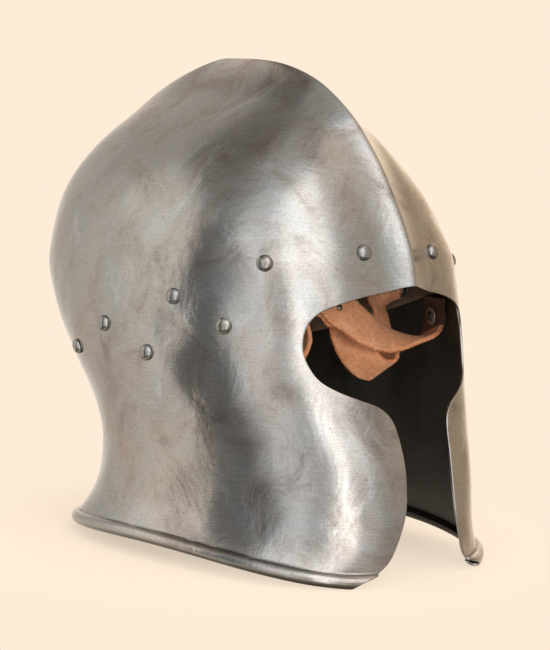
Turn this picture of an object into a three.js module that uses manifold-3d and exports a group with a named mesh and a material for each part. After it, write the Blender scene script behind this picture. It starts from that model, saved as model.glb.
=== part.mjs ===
// Barbute: a steel helmet with a T-shaped face opening, its lining band, rivets and chin strap.
// Millimetres, +Z up. The face looks along -Y and the wearer's right is -X.
import * as THREE from 'three';
import { mergeVertices } from 'three/addons/utils/BufferGeometryUtils.js';
import Module from 'manifold-3d';

const wasm = await Module();
wasm.setup();

// Skull: overall sizes
const helmetHeight = 290;
const sheet = 1.6;
const keelHeight = 6.4;
const keelHalfWidth = 22;

// Skull profile, as distances from the upright axis that the sections are drawn about
const crownSetBack = 47;
const browReach = 110;
const browHeight = 168;
const browEase = 18;
const cheekReach = 137;
const backReach = 163;
const backHeight = 168;
const napeReach = 96.5;
const napeHeight = 59;
const rearRimReach = 113;
const halfWidth = 101.6;
const widestHeight = 126;
const widestSetBack = 5;
const neckHalfWidth = 90.6;
const neckHeight = 50;
const rimHalfWidth = 103;
const rimArch = 9.7;
const tipReach = 125;
const restDrop = 0.2;

// Skull shape numbers without a unit: slopes at the rim, roundness of the dome and of the sections
const cheekSlope = 0.15;
const browSlope = 0.45;
const rearRimSlope = -0.66;
const sideRimSlope = -0.97;
const frontDome = { rise: 1.04, round: 3.08 };
const backDome = { rise: 2.7, round: 1.3 };
const sideDome = { rise: 3.1, round: 0.77 };
const frontFullness = 0.68;
const backFullness = 0.617;
const crownThickening = 1.2;
const middleDome = { rise: 2, round: 2 };
const probeShare = 0.1;
const turnProbe = 0.002;
const searchSteps = 40;

// Rolled rim and the wire inside it
const wireRadius = 2;
const clearance = 0.3;
const rollOffset = 0.8;
const rollRadius = wireRadius + clearance + sheet;
const rollHeight = 2 * rollRadius;
const wireRecess = 2;
const rollStartAngle = 99;
const rollEndAngle = -195;
const rollInnerAngle = 112;

// Face opening, one half, as [share of its half angle, share of the helmet's height]
const openingHalfAngle = 35.5;
const openingShares = [
  [0, 0.561], [0.25, 0.553], [0.5, 0.543], [0.73, 0.528], [0.89, 0.51], [0.975, 0.484],
  [1, 0.45], [0.965, 0.418], [0.87, 0.386], [0.73, 0.366], [0.56, 0.35], [0.41, 0.336],
  [0.325, 0.318], [0.277, 0.293], [0.246, 0.245], [0.238, 0.2], [0.252, 0.141], [0.305, 0.091],
  [0.375, 0.048], [0.47, 0.024], [0.541, 0.0135], [0.595, 0.005],
];
const openingFootShare = [0.95, -0.05];
const cutterRadiusShares = [0.8, 0.95, 1.1, 1.25, 1.4, 5];

// Rivets: domed head outside, shank, peened tail inside
const shankRadius = 2;
const headRadius = 4.7;
const headHeight = 3;
const tailRadius = 3.2;
const tailHeight = 1.8;
const headShares = [[1, 0], [0.92, 0.4], [0.7, 0.75], [0.38, 0.94], [0, 1]];
const tailShares = [[0, 1], [0.75, 0.7], [1, 0]];
const washerRadius = 5.6;
const washerThickness = 1;
const washerGap = 1.1;
const liningWasherGap = 1.1;

// Lining band and where its rivets sit: degrees round from the face, share of the height
const liningThickness = 2.2;
const liningGap = 0.5;
const liningAbove = 17;
const liningBelow = 11;
const rowMidShare = 0.505;
const rowDropShare = 0.12;
const liningRivets = [
  ['brow', 15.9, 0.627], ['temple', 46.7, 0.601], ['ear', 76.8, 0.526],
  ['rear', 109.2, 0.454], ['nape', 128, 0.394],
];
const strapRivets = [['front_strap', 57.9, 0.479], ['rear_strap', 87, 0.411]];

// Chin strap: two halves of suede
const strapWidth = 22;
const strapThickness = 2.8;
const strapGap = 1.8;
const strapRootLength = 11.3;
const strapFoot = 7;
const strapLean = 1.4;
const strapWasherGap = 1.1;

// Buckle
const barRadius = 1.5;
const barGap = 0.4;
const frameLength = 18;
const frameSideGap = 1.5;
const prongRadius = 1.2;
const prongRingWidth = 3.4;
const slotGap = 0.6;
const slotLength = 9;
const bendAngles = [90, 45, 0, -45, -90];
const foldLength = 17;
const foldGap = 0.9;
const foldRivetPlace = 12;
const foldRivetHead = 2;
const foldRivetShank = 1.2;
const foldRivetSlack = 0.7;

// Steps round the meshes
const keelSteps = 2;
const wallSteps = 20;
const domeSteps = 10;
const crownRows = { rise: 2.5, round: 1.2 };
const rollSteps = 7;
const outlineSteps = 2;
const rowSearchSteps = 4;
const ribbonSteps = 4;
const rodSides = 8;
const rivetSides = 10;
const washerSides = 12;

const steel = new THREE.MeshStandardMaterial({ color: 0xa8a49c, roughness: 0.34, metalness: 1 });
const wireSteel = new THREE.MeshStandardMaterial({ color: 0x6f6b66, roughness: 0.5, metalness: 1 });
const rivetSteel = new THREE.MeshStandardMaterial({ color: 0x9a948a, roughness: 0.3, metalness: 1 });
const suede = new THREE.MeshStandardMaterial({ color: 0xc48a62, roughness: 0.95, metalness: 0 });
const liningLeather = new THREE.MeshStandardMaterial({ color: 0x3d2c25, roughness: 0.7, metalness: 0 });

const helmet = new THREE.Group();
const vec = (x, y, z) => new THREE.Vector3(x, y, z);
const radians = THREE.MathUtils.degToRad;
const clamp = THREE.MathUtils.clamp;

// The share of a reach that is left at height z, from the spring line up to the crown
function dome(z, spring, top, { rise, round }) {
  const climb = clamp((z - spring) / (top - spring), 0, 1);
  return (1 - climb ** rise) ** (1 / round);
}

// A smooth passage from one size at height low to another at height high, level at the top end
function passage(z, low, high, lowSize, highSize, lowSlope) {
  const span = high - low;
  const t = clamp((z - low) / span, 0, 1);
  const ease = t * t * (3 - 2 * t);
  return lowSize + (highSize - lowSize) * ease + span * lowSlope * t * (1 - t) ** 2;
}

// How far the face is drawn in round the brow line, so that the slopes above and below meet in a soft bend
function browBend(z) {
  const near = Math.max(0, browEase - Math.abs(z - browHeight));
  return browSlope * near ** 2 / (4 * browEase);
}

// Front, back and half-width of the section at height z; inset draws the inside of the sheet
function section(z, inset) {
  const top = helmetHeight - keelHeight - crownThickening * inset;
  const brow = browReach - inset;
  const back = backReach - inset;
  const side = halfWidth - inset;
  const front = z >= browHeight
    ? -crownSetBack + (brow + crownSetBack) * dome(z, browHeight, top, frontDome)
    : passage(z, rimArch, browHeight, cheekReach - inset, brow, cheekSlope);
  const nape = napeReach - inset;
  let rear = crownSetBack + (back - crownSetBack) * dome(z, backHeight, top, backDome);
  if (z < backHeight) rear = passage(z, napeHeight, backHeight, nape, back, 0);
  if (z < napeHeight) rear = passage(z, rimArch, napeHeight, rearRimReach - inset, nape, rearRimSlope);
  const neck = neckHalfWidth - inset;
  let half = side * dome(z, widestHeight, top, sideDome);
  if (z < widestHeight) half = passage(z, neckHeight, widestHeight, neck, side, 0);
  if (z < neckHeight) half = passage(z, rimArch, neckHeight, rimHalfWidth - inset, neck, sideRimSlope);
  const ring = z < widestHeight ? 1 : dome(z, widestHeight, top, middleDome);
  const mid = crownSetBack + (widestSetBack - crownSetBack) * ring;
  return { front: front - browBend(z), rear, half, mid, top };
}

// One quarter of a section: 0 at its tip on the medial plane, 1 at its widest point
function quarter(t, fullness) {
  const across = 3 * t * (1 - t) ** 2 * fullness + 3 * t * t * (1 - t) + t ** 3;
  const along = (1 - t) ** 3 + 3 * t * (1 - t) ** 2 + 3 * t * t * (1 - t) * fullness;
  return [across, along];
}

// The way the keel is raised: square to the medial profile, forward at the brow and back at the nape
function keelDirection(turn, z, inset) {
  const step = probeShare * keelHeight;
  const high = Math.min(z, section(z, inset).top - step);
  const above = section(high + step / 2, inset);
  const below = section(high - step / 2, inset);
  const forward = vec(0, -step, below.front - above.front).normalize();
  const backward = vec(0, step, below.rear - above.rear).normalize();
  const share = Math.sin(Math.PI * turn / 4) ** 2;
  return forward.multiplyScalar(1 - share).add(backward.multiplyScalar(share)).normalize();
}

// A point of the skull: turn runs from 0 at the face over 1 at the ear to 2 at the nape, negative on -X
function skullPoint(turn, z, inset = 0) {
  const way = Math.abs(turn);
  const { front, rear, half, mid } = section(z, inset);
  const ahead = way <= 1;
  const [across, along] = quarter(ahead ? way : 2 - way, ahead ? frontFullness : backFullness);
  const x = Math.sign(turn) * half * across;
  const y = ahead ? mid - (mid + front) * along : mid + (rear - mid) * along;
  const fade = ahead ? 1 : clamp((z - napeHeight) / (backHeight - napeHeight), 0, 1);
  const rise = keelHeight * fade * clamp(1 - Math.abs(x) / keelHalfWidth, 0, 1) ** 2;
  return vec(x, y, z).addScaledVector(keelDirection(way, z, inset), rise);
}

// Outward normal of the skull
function skullNormal(turn, z) {
  const heightProbe = probeShare * sheet;
  const along = skullPoint(turn + turnProbe, z).sub(skullPoint(turn - turnProbe, z));
  const up = skullPoint(turn, z + heightProbe).sub(skullPoint(turn, z - heightProbe));
  return along.cross(up).normalize();
}

// The place on the wall at an angle round from the face (negative on -X) and a height
function wallPlace(angle, z) {
  const wanted = radians(Math.abs(angle));
  let low = 0;
  let high = 2;
  for (let i = 0; i < searchSteps; i += 1) {
    const turn = (low + high) / 2;
    const p = skullPoint(turn, z);
    if (Math.atan2(p.x, -p.y) < wanted) low = turn;
    else high = turn;
  }
  const turn = Math.sign(angle) * low;
  return { point: skullPoint(turn, z), normal: skullNormal(turn, z), turn, z };
}

// Height of the rim's lowest line where the wall stands at y; it is level where the helmet rests
function rimHeight(y) {
  const middle = (rearRimReach - tipReach) / 2;
  const reach = (rearRimReach + tipReach) / 2;
  const arch = 1 - ((y - middle) / reach) ** 2;
  return Math.max(0, (rimArch + restDrop) * arch - restDrop);
}

// Turns of the columns round the skull, closest together on the keel
function columnTurns() {
  const keelTurn = keelHalfWidth / (3 * frontFullness * halfWidth);
  const half = [];
  for (let i = 0; i < keelSteps; i += 1) half.push(keelTurn * i / keelSteps);
  for (let i = 0; i <= wallSteps; i += 1) half.push(keelTurn + (2 - 2 * keelTurn) * i / wallSteps);
  for (let i = 1; i <= keelSteps; i += 1) half.push(2 - keelTurn + keelTurn * i / keelSteps);
  const other = half.slice(1, -1).reverse().map((turn) => -turn);
  return half.concat(other);
}
const columns = columnTurns();

// Heights of the rows above the roll, as shares of the wall's height up to the brow, then up the dome
const wallRowShares = [0, 0.04, 0.09, 0.15, 0.22, 0.3, 0.38, 0.46, 0.54, 0.62, 0.7, 0.78, 0.86, 0.93, 1];

function rowHeights(inset) {
  const top = helmetHeight - keelHeight - crownThickening * inset;
  const rows = wallRowShares.map((share) => rollHeight + share * (browHeight - rollHeight));
  for (let i = 1; i < domeSteps; i += 1) {
    const left = Math.cos(Math.PI / 2 * i / domeSteps);
    rows.push(browHeight + (top - browHeight) * (1 - left ** crownRows.rise) ** (1 / crownRows.round));
  }
  return rows;
}

// A row's height at one column: rows follow the arched rim and are level from the neck up
function levelled(height, lift) {
  return height + lift * clamp(1 - (height - rollHeight) / (neckHeight - rollHeight), 0, 1);
}

// The roll's section, from the outside of the wall round the wire to the raw edge and back inside
function rollSection() {
  const ring = (radius, from, to, steps) => {
    const out = [];
    for (let i = 0; i <= steps; i += 1) {
      const angle = radians(from + (to - from) * i / steps);
      out.push([rollOffset + radius * Math.cos(angle), rollRadius + radius * Math.sin(angle)]);
    }
    return out;
  };
  const outside = ring(rollRadius, rollStartAngle, rollEndAngle, rollSteps);
  const inside = ring(rollRadius - sheet, rollEndAngle, rollInnerAngle, rollSteps - 1);
  return outside.concat(inside);
}

// A closed mesh from rings of points; each end is a ring's own cap point, or the rings close on themselves
function meshFromRings(rings, startPoint, endPoint) {
  const count = rings[0].length;
  const points = rings.flat();
  const faces = [];
  const links = startPoint ? rings.length - 1 : rings.length;
  for (let r = 0; r < links; r += 1) {
    const next = (r + 1) % rings.length;
    for (let c = 0; c < count; c += 1) {
      const d = (c + 1) % count;
      faces.push(r * count + c, next * count + c, next * count + d);
      faces.push(r * count + c, next * count + d, r * count + d);
    }
  }
  if (startPoint) {
    points.push(startPoint, endPoint);
    const last = (rings.length - 1) * count;
    for (let c = 0; c < count; c += 1) {
      const d = (c + 1) % count;
      faces.push(points.length - 2, c, d);
      faces.push(points.length - 1, last + d, last + c);
    }
  }
  return facingOut(points, faces);
}

// A geometry whose faces all look outward, whichever way its rings ran
function facingOut(points, faces) {
  let volume = 0;
  for (let i = 0; i < faces.length; i += 3) {
    const [a, b, c] = faces.slice(i, i + 3).map((index) => points[index]);
    volume += a.dot(b.clone().cross(c));
  }
  const geometry = new THREE.BufferGeometry().setFromPoints(points);
  geometry.setIndex(volume < 0 ? faces.slice().reverse() : faces);
  return geometry;
}

// Manifold solids, only for cutting and joining
function solid(geometry) {
  const bare = geometry.clone();
  bare.deleteAttribute('normal');
  bare.deleteAttribute('uv');
  const merged = mergeVertices(bare);
  const vertProperties = new Float32Array(merged.attributes.position.array);
  const triVerts = new Uint32Array(merged.index.array);
  return new wasm.Manifold(new wasm.Mesh({ numProp: 3, vertProperties, triVerts }));
}

function fromSolid(body) {
  const { vertProperties, triVerts } = body.getMesh();
  const geometry = new THREE.BufferGeometry();
  geometry.setAttribute('position', new THREE.BufferAttribute(new Float32Array(vertProperties), 3));
  geometry.setIndex(Array.from(triVerts));
  return geometry;
}

function addPiece(name, geometry, material) {
  geometry.computeVertexNormals();
  const mesh = new THREE.Mesh(geometry, material);
  mesh.name = name;
  helmet.add(mesh);
  return mesh;
}

// Turns a geometry's +Z to a direction and moves it to a point
function placed(geometry, point, direction) {
  const turn = new THREE.Quaternion().setFromUnitVectors(vec(0, 0, 1), direction);
  return geometry.applyMatrix4(new THREE.Matrix4().compose(point, turn, vec(1, 1, 1)));
}

// Outline of the face opening as [angle, height] points all the way round, grown outward by margin degrees
function openingOutline(margin) {
  const half = openingShares.map(([a, h]) => new THREE.Vector2(a * openingHalfAngle, h * helmetHeight));
  const mirrored = half.slice(1, 4).reverse().map((p) => new THREE.Vector2(-p.x, p.y));
  const guide = new THREE.SplineCurve(mirrored.concat(half));
  const segments = mirrored.length + half.length - 1;
  const right = [];
  for (let i = mirrored.length * outlineSteps; i <= segments * outlineSteps; i += 1) {
    const p = guide.getPoint(i / (segments * outlineSteps));
    right.push(vec(p.x + (i === mirrored.length * outlineSteps ? 0 : margin), p.y, 0));
  }
  const [footShare, dropShare] = openingFootShare;
  right.push(vec(footShare * openingHalfAngle + margin, dropShare * helmetHeight, 0));
  const left = right.slice(1).reverse().map((p) => vec(-p.x, p.y, 0));
  return right.concat(left).reverse();
}

// The face opening as a solid that is cut straight out from the upright axis
function openingCutter(margin) {
  const outline = openingOutline(margin);
  const count = outline.length;
  const points = [];
  for (const share of cutterRadiusShares) {
    for (const { x, y } of outline) {
      const radius = share * browReach;
      points.push(vec(radius * Math.sin(radians(x)), -radius * Math.cos(radians(x)), y));
    }
  }
  const faces = [];
  const last = points.length - count;
  const flat = outline.map((p) => new THREE.Vector2(p.x, p.y));
  for (const [a, b, c] of THREE.ShapeUtils.triangulateShape(flat, [])) {
    faces.push(a, c, b, last + a, last + b, last + c);
  }
  for (let from = 0; from < last; from += count) {
    for (let i = 0; i < count; i += 1) {
      const j = (i + 1) % count;
      faces.push(from + i, from + j, from + count + j, from + i, from + count + j, from + count + i);
    }
  }
  return solid(facingOut(points, faces));
}

// Everything that passes through the wall, with the stack of layers that it holds
const sides = [['right', -1], ['left', 1]];
const liningStack = sheet + liningGap + liningThickness + liningWasherGap;
const strapStack = sheet + strapGap + strapThickness + strapWasherGap;
const bareStack = sheet + washerGap;

function rivetPlaces() {
  const places = [];
  const add = (entry, side, sign, depth) => {
    const [name, angle, share] = entry;
    const wall = wallPlace(sign * angle, share * helmetHeight);
    places.push({ name: `${name}_rivet_${side}`, wall, depth });
  };
  for (const [side, sign] of sides) {
    liningRivets.forEach((entry) => add(entry, side, sign, liningStack));
    strapRivets.forEach((entry, row) => add(entry, side, sign, row === 0 ? strapStack : bareStack));
  }
  return places;
}
const rivets = rivetPlaces();

function rivetHole({ wall }) {
  const bore = shankRadius + clearance;
  const hole = new THREE.CylinderGeometry(bore, bore, 2 * (strapStack + headRadius), rivetSides);
  return solid(placed(hole.rotateX(Math.PI / 2), wall.point, wall.normal));
}
const holes = rivets.map(rivetHole);

function withHoles(body) {
  return holes.reduce((cut, hole) => cut.subtract(hole), body);
}

// Skull
function skullGeometry() {
  const roll = rollSection();
  const outerRows = rowHeights(0).reverse();
  const innerRows = rowHeights(sheet);
  const lifts = columns.map((turn) => rimHeight(skullPoint(turn, rimArch).y));
  const wall = (z, inset) => columns.map((turn, i) => skullPoint(turn, levelled(z, lifts[i]), inset));
  const rings = outerRows.map((z) => wall(z, 0));
  for (const [out, up] of roll) {
    rings.push(columns.map((turn, i) => {
      const foot = skullPoint(turn, levelled(rollHeight, lifts[i]));
      const away = skullNormal(turn, levelled(rollHeight, lifts[i])).setZ(0).normalize();
      return foot.addScaledVector(away, out).setZ(lifts[i] + up);
    }));
  }
  for (const z of innerRows) rings.push(wall(z, sheet));
  const crown = vec(0, crownSetBack, helmetHeight);
  const ceiling = vec(0, crownSetBack, helmetHeight - crownThickening * sheet);
  return meshFromRings(rings, crown, ceiling);
}

function buildSkull() {
  const body = withHoles(solid(skullGeometry())).subtract(openingCutter(0));
  return addPiece('skull', fromSolid(body), steel);
}

// The wire that the rim is rolled over, cut short of the roll's open ends
function buildRimWire() {
  const rings = columns.map((turn) => {
    const lift = rimHeight(skullPoint(turn, rimArch).y);
    const foot = skullPoint(turn, levelled(rollHeight, lift));
    const away = skullNormal(turn, levelled(rollHeight, lift)).setZ(0).normalize();
    const centre = foot.addScaledVector(away, rollOffset).setZ(lift + rollRadius);
    const ring = [];
    for (let i = 0; i < rodSides; i += 1) {
      const angle = 2 * Math.PI * (i + 0.5) / rodSides;
      ring.push(centre.clone().addScaledVector(away, wireRadius * Math.cos(angle))
        .add(vec(0, 0, wireRadius * Math.sin(angle))));
    }
    return ring;
  });
  const recessAngle = THREE.MathUtils.radToDeg(wireRecess / cheekReach);
  const body = solid(meshFromRings(rings)).subtract(openingCutter(recessAngle));
  addPiece('rim_wire', fromSolid(body), wireSteel);
}

// The lining band, a strip that follows the rivet row all the way round
function buildLiningBand() {
  const rings = columns.map((turn) => {
    let row = rowMidShare * helmetHeight;
    for (let i = 0; i < rowSearchSteps; i += 1) {
      const p = skullPoint(turn, row);
      row = helmetHeight * (rowMidShare + rowDropShare * -p.y / Math.hypot(p.x, p.y));
    }
    const corner = (z, depth) => skullPoint(turn, z).addScaledVector(skullNormal(turn, z), -depth);
    const near = sheet + liningGap;
    const far = near + liningThickness;
    return [
      corner(row - liningBelow, near), corner(row + (liningAbove - liningBelow) / 2, near),
      corner(row + liningAbove, near), corner(row + liningAbove, far),
      corner(row + (liningAbove - liningBelow) / 2, far), corner(row - liningBelow, far),
    ];
  });
  addPiece('lining_band', fromSolid(withHoles(solid(meshFromRings(rings)))), liningLeather);
}

// A turned piece from a closed profile of [radius, height] points
function turned(profile, segments) {
  const points = profile.map(([r, h]) => new THREE.Vector2(r, h));
  return new THREE.LatheGeometry(points, segments).rotateX(Math.PI / 2);
}

function rivetProfile(head, height, shank, tail, peen, grip) {
  const foot = -grip - clearance;
  const peened = tailShares.map(([r, h]) => [r * tail, foot - h * peen]);
  const domed = headShares.map(([r, h]) => [r * head, clearance + h * height]);
  return [...peened, [shank, foot], [shank, clearance], ...domed];
}

function buildRivet({ name, wall, depth }) {
  const grip = depth + washerThickness;
  const profile = rivetProfile(headRadius, headHeight, shankRadius, tailRadius, tailHeight, grip);
  addPiece(name, placed(turned(profile, rivetSides), wall.point, wall.normal), rivetSteel);
}

function buildWasher({ name, wall, depth }) {
  const bore = shankRadius + clearance;
  const rise = washerThickness;
  const ring = [[bore, 0], [washerRadius, 0], [washerRadius, rise], [bore, rise], [bore, 0]];
  const seat = wall.point.clone().addScaledVector(wall.normal, -depth - rise);
  const washer = placed(turned(ring, washerSides), seat, wall.normal);
  addPiece(name.replace('rivet', 'washer'), washer, rivetSteel);
}

// A strap: a strip swept through stations, each with its centre and the way its width lies
function ribbon(stations, width, thickness) {
  const centres = new THREE.CatmullRomCurve3(stations.map((s) => s.centre), false, 'centripetal');
  const ways = new THREE.CatmullRomCurve3(stations.map((s) => s.across), false, 'centripetal');
  const rings = [];
  const steps = (stations.length - 1) * ribbonSteps;
  for (let i = 0; i <= steps; i += 1) {
    const t = i / steps;
    const along = centres.getTangent(t);
    const across = ways.getPoint(t);
    across.addScaledVector(along, -across.dot(along)).normalize().multiplyScalar(width / 2);
    const face = along.clone().cross(across).normalize().multiplyScalar(thickness / 2);
    const middle = centres.getPoint(t);
    rings.push([
      middle.clone().add(across).add(face), middle.clone().sub(across).add(face),
      middle.clone().sub(across).sub(face), middle.clone().add(across).sub(face),
    ]);
  }
  const start = stations[0].centre;
  const end = stations[stations.length - 1].centre;
  return meshFromRings(rings, start.clone(), end.clone());
}

// Where a strap leaves the wall: flat on it over the rivet, then down and away
function strapRoot(sign) {
  const [, angle, share] = strapRivets[0];
  const height = share * helmetHeight;
  const depth = sheet + strapGap + strapThickness / 2;
  return [[strapRootLength, 0], [0, 0], [-strapFoot, strapLean]].map(([rise, lean]) => {
    const { point, normal } = wallPlace(sign * angle, height + rise);
    const across = normal.clone().cross(vec(0, 0, 1)).normalize();
    return { centre: point.addScaledVector(normal, -depth - lean), across };
  });
}

// Stations from shares of the half width, the brow's reach and the height, each with its width's direction
function station([xShare, yShare, zShare], [ax, ay, az]) {
  const centre = vec(xShare * halfWidth, yShare * browReach, zShare * helmetHeight);
  return { centre, across: vec(ax, ay, az).normalize() };
}

const leftRouteShares = [
  [[0.839, -0.513, 0.443], [-0.35, -0.9, 0.26]],
  [[0.801, -0.505, 0.434], [-0.4, -0.9, 0.18]],
  [[0.754, -0.49, 0.431], [-0.39, -0.92, 0.09]],
  [[0.687, -0.474, 0.432], [-0.33, -0.94, -0.09]],
  [[0.608, -0.461, 0.432], [-0.29, -0.88, -0.37]],
  [[0.504, -0.449, 0.435], [-0.25, -0.69, -0.68]],
  [[0.382, -0.459, 0.446], [-0.35, -0.49, -0.8]],
  [[0.262, -0.456, 0.464], [-0.55, -0.26, -0.79]],
  [[0.159, -0.459, 0.484], [-0.75, -0.18, -0.64]],
];
const rightRouteShares = [
  [[-0.8, -0.46, 0.37], [-0.45, 0.89, 0]],
  [[-0.55, -0.36, 0.335], [-0.3, 0.95, 0]],
  [[-0.25, -0.31, 0.365], [0, 1, 0]],
  [[-0.05, -0.293, 0.425], [0.3, 0.95, -0.1]],
  [[0, -0.26, 0.495], [0.7, 0.7, -0.1]],
  [[0.09, -0.27, 0.53], [0.9, 0.35, 0.25]],
  [[0.21, -0.345, 0.493], [0.88, 0.2, 0.44]],
  [[0.255, -0.335, 0.458], [0.91, -0.01, 0.41]],
  [[0.315, -0.349, 0.428], [0.77, -0.4, 0.49]],
  [[0.377, -0.351, 0.402], [0.45, -0.66, 0.6]],
  [[0.441, -0.354, 0.378], [0.09, -0.79, 0.6]],
  [[0.522, -0.356, 0.363], [0.04, -0.82, 0.57]],
  [[0.601, -0.352, 0.362], [0.13, -0.79, 0.6]],
  [[0.655, -0.319, 0.378], [0.25, -0.77, 0.58]],
  [[0.682, -0.27, 0.404], [0.74, -0.42, 0.53]],
  [[0.696, -0.245, 0.44], [0.98, 0.19, 0.11]],
  [[0.695, -0.235, 0.466], [0.95, 0.32, -0.03]],
  [[0.692, -0.232, 0.483], [0.87, 0.48, -0.09]],
  [[0.692, -0.237, 0.504], [1, 0.02, 0.01]],
  [[0.697, -0.247, 0.525], [0.71, -0.71, 0.02]],
  [[0.696, -0.252, 0.548], [0.71, -0.71, 0.02]],
];

// The buckle: its bar's middle as shares, the way the strap runs there and the way its bar lies
const buckleShares = [-0.048, -0.437, 0.525];
const buckleHeading = [-0.81, -0.1, 0.57];
const buckleAcross = [-0.56, -0.14, -0.82];

// The buckle's own directions: along the strap, across it, and out of its face
function buckleDirections() {
  const { centre, across } = station(buckleShares, buckleAcross);
  const along = vec(...buckleHeading).normalize();
  across.addScaledVector(along, -across.dot(along)).normalize();
  const face = along.clone().cross(across).normalize();
  return { centre, along, across, face: face.y < 0 ? face : face.negate() };
}
const buckle = buckleDirections();

// A point near the buckle's bar: onward along the strap, aside across it, out of its face
function atBuckle(onward, aside, out) {
  return buckle.centre.clone().addScaledVector(buckle.along, onward)
    .addScaledVector(buckle.across, aside).addScaledVector(buckle.face, out);
}

// The end of the left strap: round the buckle's bar and back under itself
const bendRadius = barRadius + barGap + strapThickness / 2;

function buckleFold() {
  const stations = [atBuckle(-foldRivetPlace, 0, bendRadius)];
  for (const angle of bendAngles) {
    const onward = bendRadius * Math.cos(radians(angle));
    stations.push(atBuckle(onward, 0, bendRadius * Math.sin(radians(angle))));
  }
  const under = bendRadius - strapThickness - foldGap;
  stations.push(atBuckle(-foldLength / 3, 0, under), atBuckle(-foldLength, 0, under));
  return stations.map((centre) => ({ centre, across: buckle.across }));
}

// A block standing on the buckle's directions
function buckleBlock(onwardSpan, width, height) {
  const [from, to] = onwardSpan;
  const block = new THREE.BoxGeometry(to - from, width, height);
  const basis = new THREE.Matrix4().makeBasis(buckle.along, buckle.across, buckle.face);
  basis.setPosition(atBuckle((from + to) / 2, 0, 0));
  if (basis.determinant() < 0) basis.scale(vec(1, -1, 1));
  return solid(block.applyMatrix4(basis));
}

function foldRivetHole() {
  const radius = foldRivetShank + clearance;
  const length = 4 * strapThickness + 2 * bendRadius;
  const hole = new THREE.CylinderGeometry(radius, radius, length, rivetSides).rotateX(Math.PI / 2);
  return solid(placed(hole, atBuckle(-foldRivetPlace, 0, 0), buckle.face));
}

function buildLeftStrap() {
  const run = leftRouteShares.map((entry) => station(...entry));
  const body = solid(ribbon([...strapRoot(1), ...run, ...buckleFold()], strapWidth, strapThickness));
  const slotReach = bendRadius + strapThickness;
  const slot = buckleBlock([-slotLength, slotReach], prongRingWidth + 2 * slotGap, 2 * slotReach);
  addPiece('chin_strap_left', fromSolid(withHoles(body).subtract(slot).subtract(foldRivetHole())), suede);
}

function buildRightStrap() {
  const run = rightRouteShares.map((entry) => station(...entry));
  const body = solid(ribbon([...strapRoot(-1), ...run], strapWidth, strapThickness));
  addPiece('chin_strap_right', fromSolid(withHoles(body)), suede);
}

// Rings of a round rod along points, the rod's ring plane being spanned by two directions at each point
function rodRings(points, radius, closed) {
  return points.map((point, i) => {
    const before = points[closed ? (i + points.length - 1) % points.length : Math.max(i - 1, 0)];
    const after = points[closed ? (i + 1) % points.length : Math.min(i + 1, points.length - 1)];
    const along = after.clone().sub(before).normalize();
    const out = buckle.face.clone().addScaledVector(along, -buckle.face.dot(along)).normalize();
    const side = along.clone().cross(out);
    const ring = [];
    for (let k = 0; k < rodSides; k += 1) {
      const angle = 2 * Math.PI * (k + 0.5) / rodSides;
      ring.push(point.clone().addScaledVector(out, radius * Math.cos(angle))
        .addScaledVector(side, radius * Math.sin(angle)));
    }
    return ring;
  });
}

// The buckle's frame: one bent rod, closed, with rounded corners
function buildBuckleFrame() {
  const reach = strapWidth / 2 + frameSideGap + barRadius;
  const corner = 2 * barRadius;
  const points = [];
  const corners = [
    [corner, reach - corner, 90, 180], [corner, corner - reach, 180, 270],
    [frameLength - corner, corner - reach, 270, 360], [frameLength - corner, reach - corner, 0, 90],
  ];
  for (const [onward, aside, from, to] of corners) {
    for (const angle of [from, (from + to) / 2, to]) {
      const o = onward + corner * Math.cos(radians(angle));
      points.push(atBuckle(o, aside + corner * Math.sin(radians(angle)), 0));
    }
  }
  addPiece('buckle_frame', meshFromRings(rodRings(points, barRadius, true)), rivetSteel);
}

// The prong: a ring round the frame's bar and a rod that rests on the far bar
function buildBuckleProng() {
  const inner = barRadius + clearance;
  const outer = inner + prongRadius;
  const half = prongRingWidth / 2;
  const section = [[inner, -half], [outer, -half], [outer, half], [inner, half], [inner, -half]];
  const ring = turned(section, washerSides);
  const eye = solid(placed(ring, buckle.centre, buckle.across));
  const seat = barRadius + clearance + prongRadius;
  const line = [atBuckle(0, 0, seat), atBuckle(frameLength + 2 * barRadius, 0, seat)];
  const rod = solid(meshFromRings(rodRings(line, prongRadius, false), line[0].clone(), line[1].clone()));
  addPiece('buckle_prong', fromSolid(eye.add(rod)), rivetSteel);
}

// The small rivet that holds the fold shut behind the buckle
function buildFoldRivet() {
  const grip = 2 * (strapThickness + foldRivetSlack) + clearance;
  const head = foldRivetHead;
  const profile = rivetProfile(head, head / 2, foldRivetShank, head, head / 2, grip);
  const seat = atBuckle(-foldRivetPlace, 0, bendRadius + strapThickness / 2 + foldRivetSlack);
  addPiece('fold_rivet', placed(turned(profile, rivetSides), seat, buckle.face), rivetSteel);
}

buildSkull();
buildRimWire();
buildLiningBand();
rivets.forEach(buildRivet);
rivets.forEach(buildWasher);
buildLeftStrap();
buildRightStrap();
buildBuckleFrame();
buildBuckleProng();
buildFoldRivet();

// The origin lies under the middle of the helmet, on the surface that it stands on
const bounds = new THREE.Box3().setFromObject(helmet);
helmet.position.set(0, -(bounds.min.y + bounds.max.y) / 2, -bounds.min.z);

export default helmet;
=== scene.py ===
import math

import bpy
import numpy as np
from mathutils import Matrix, Vector

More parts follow.
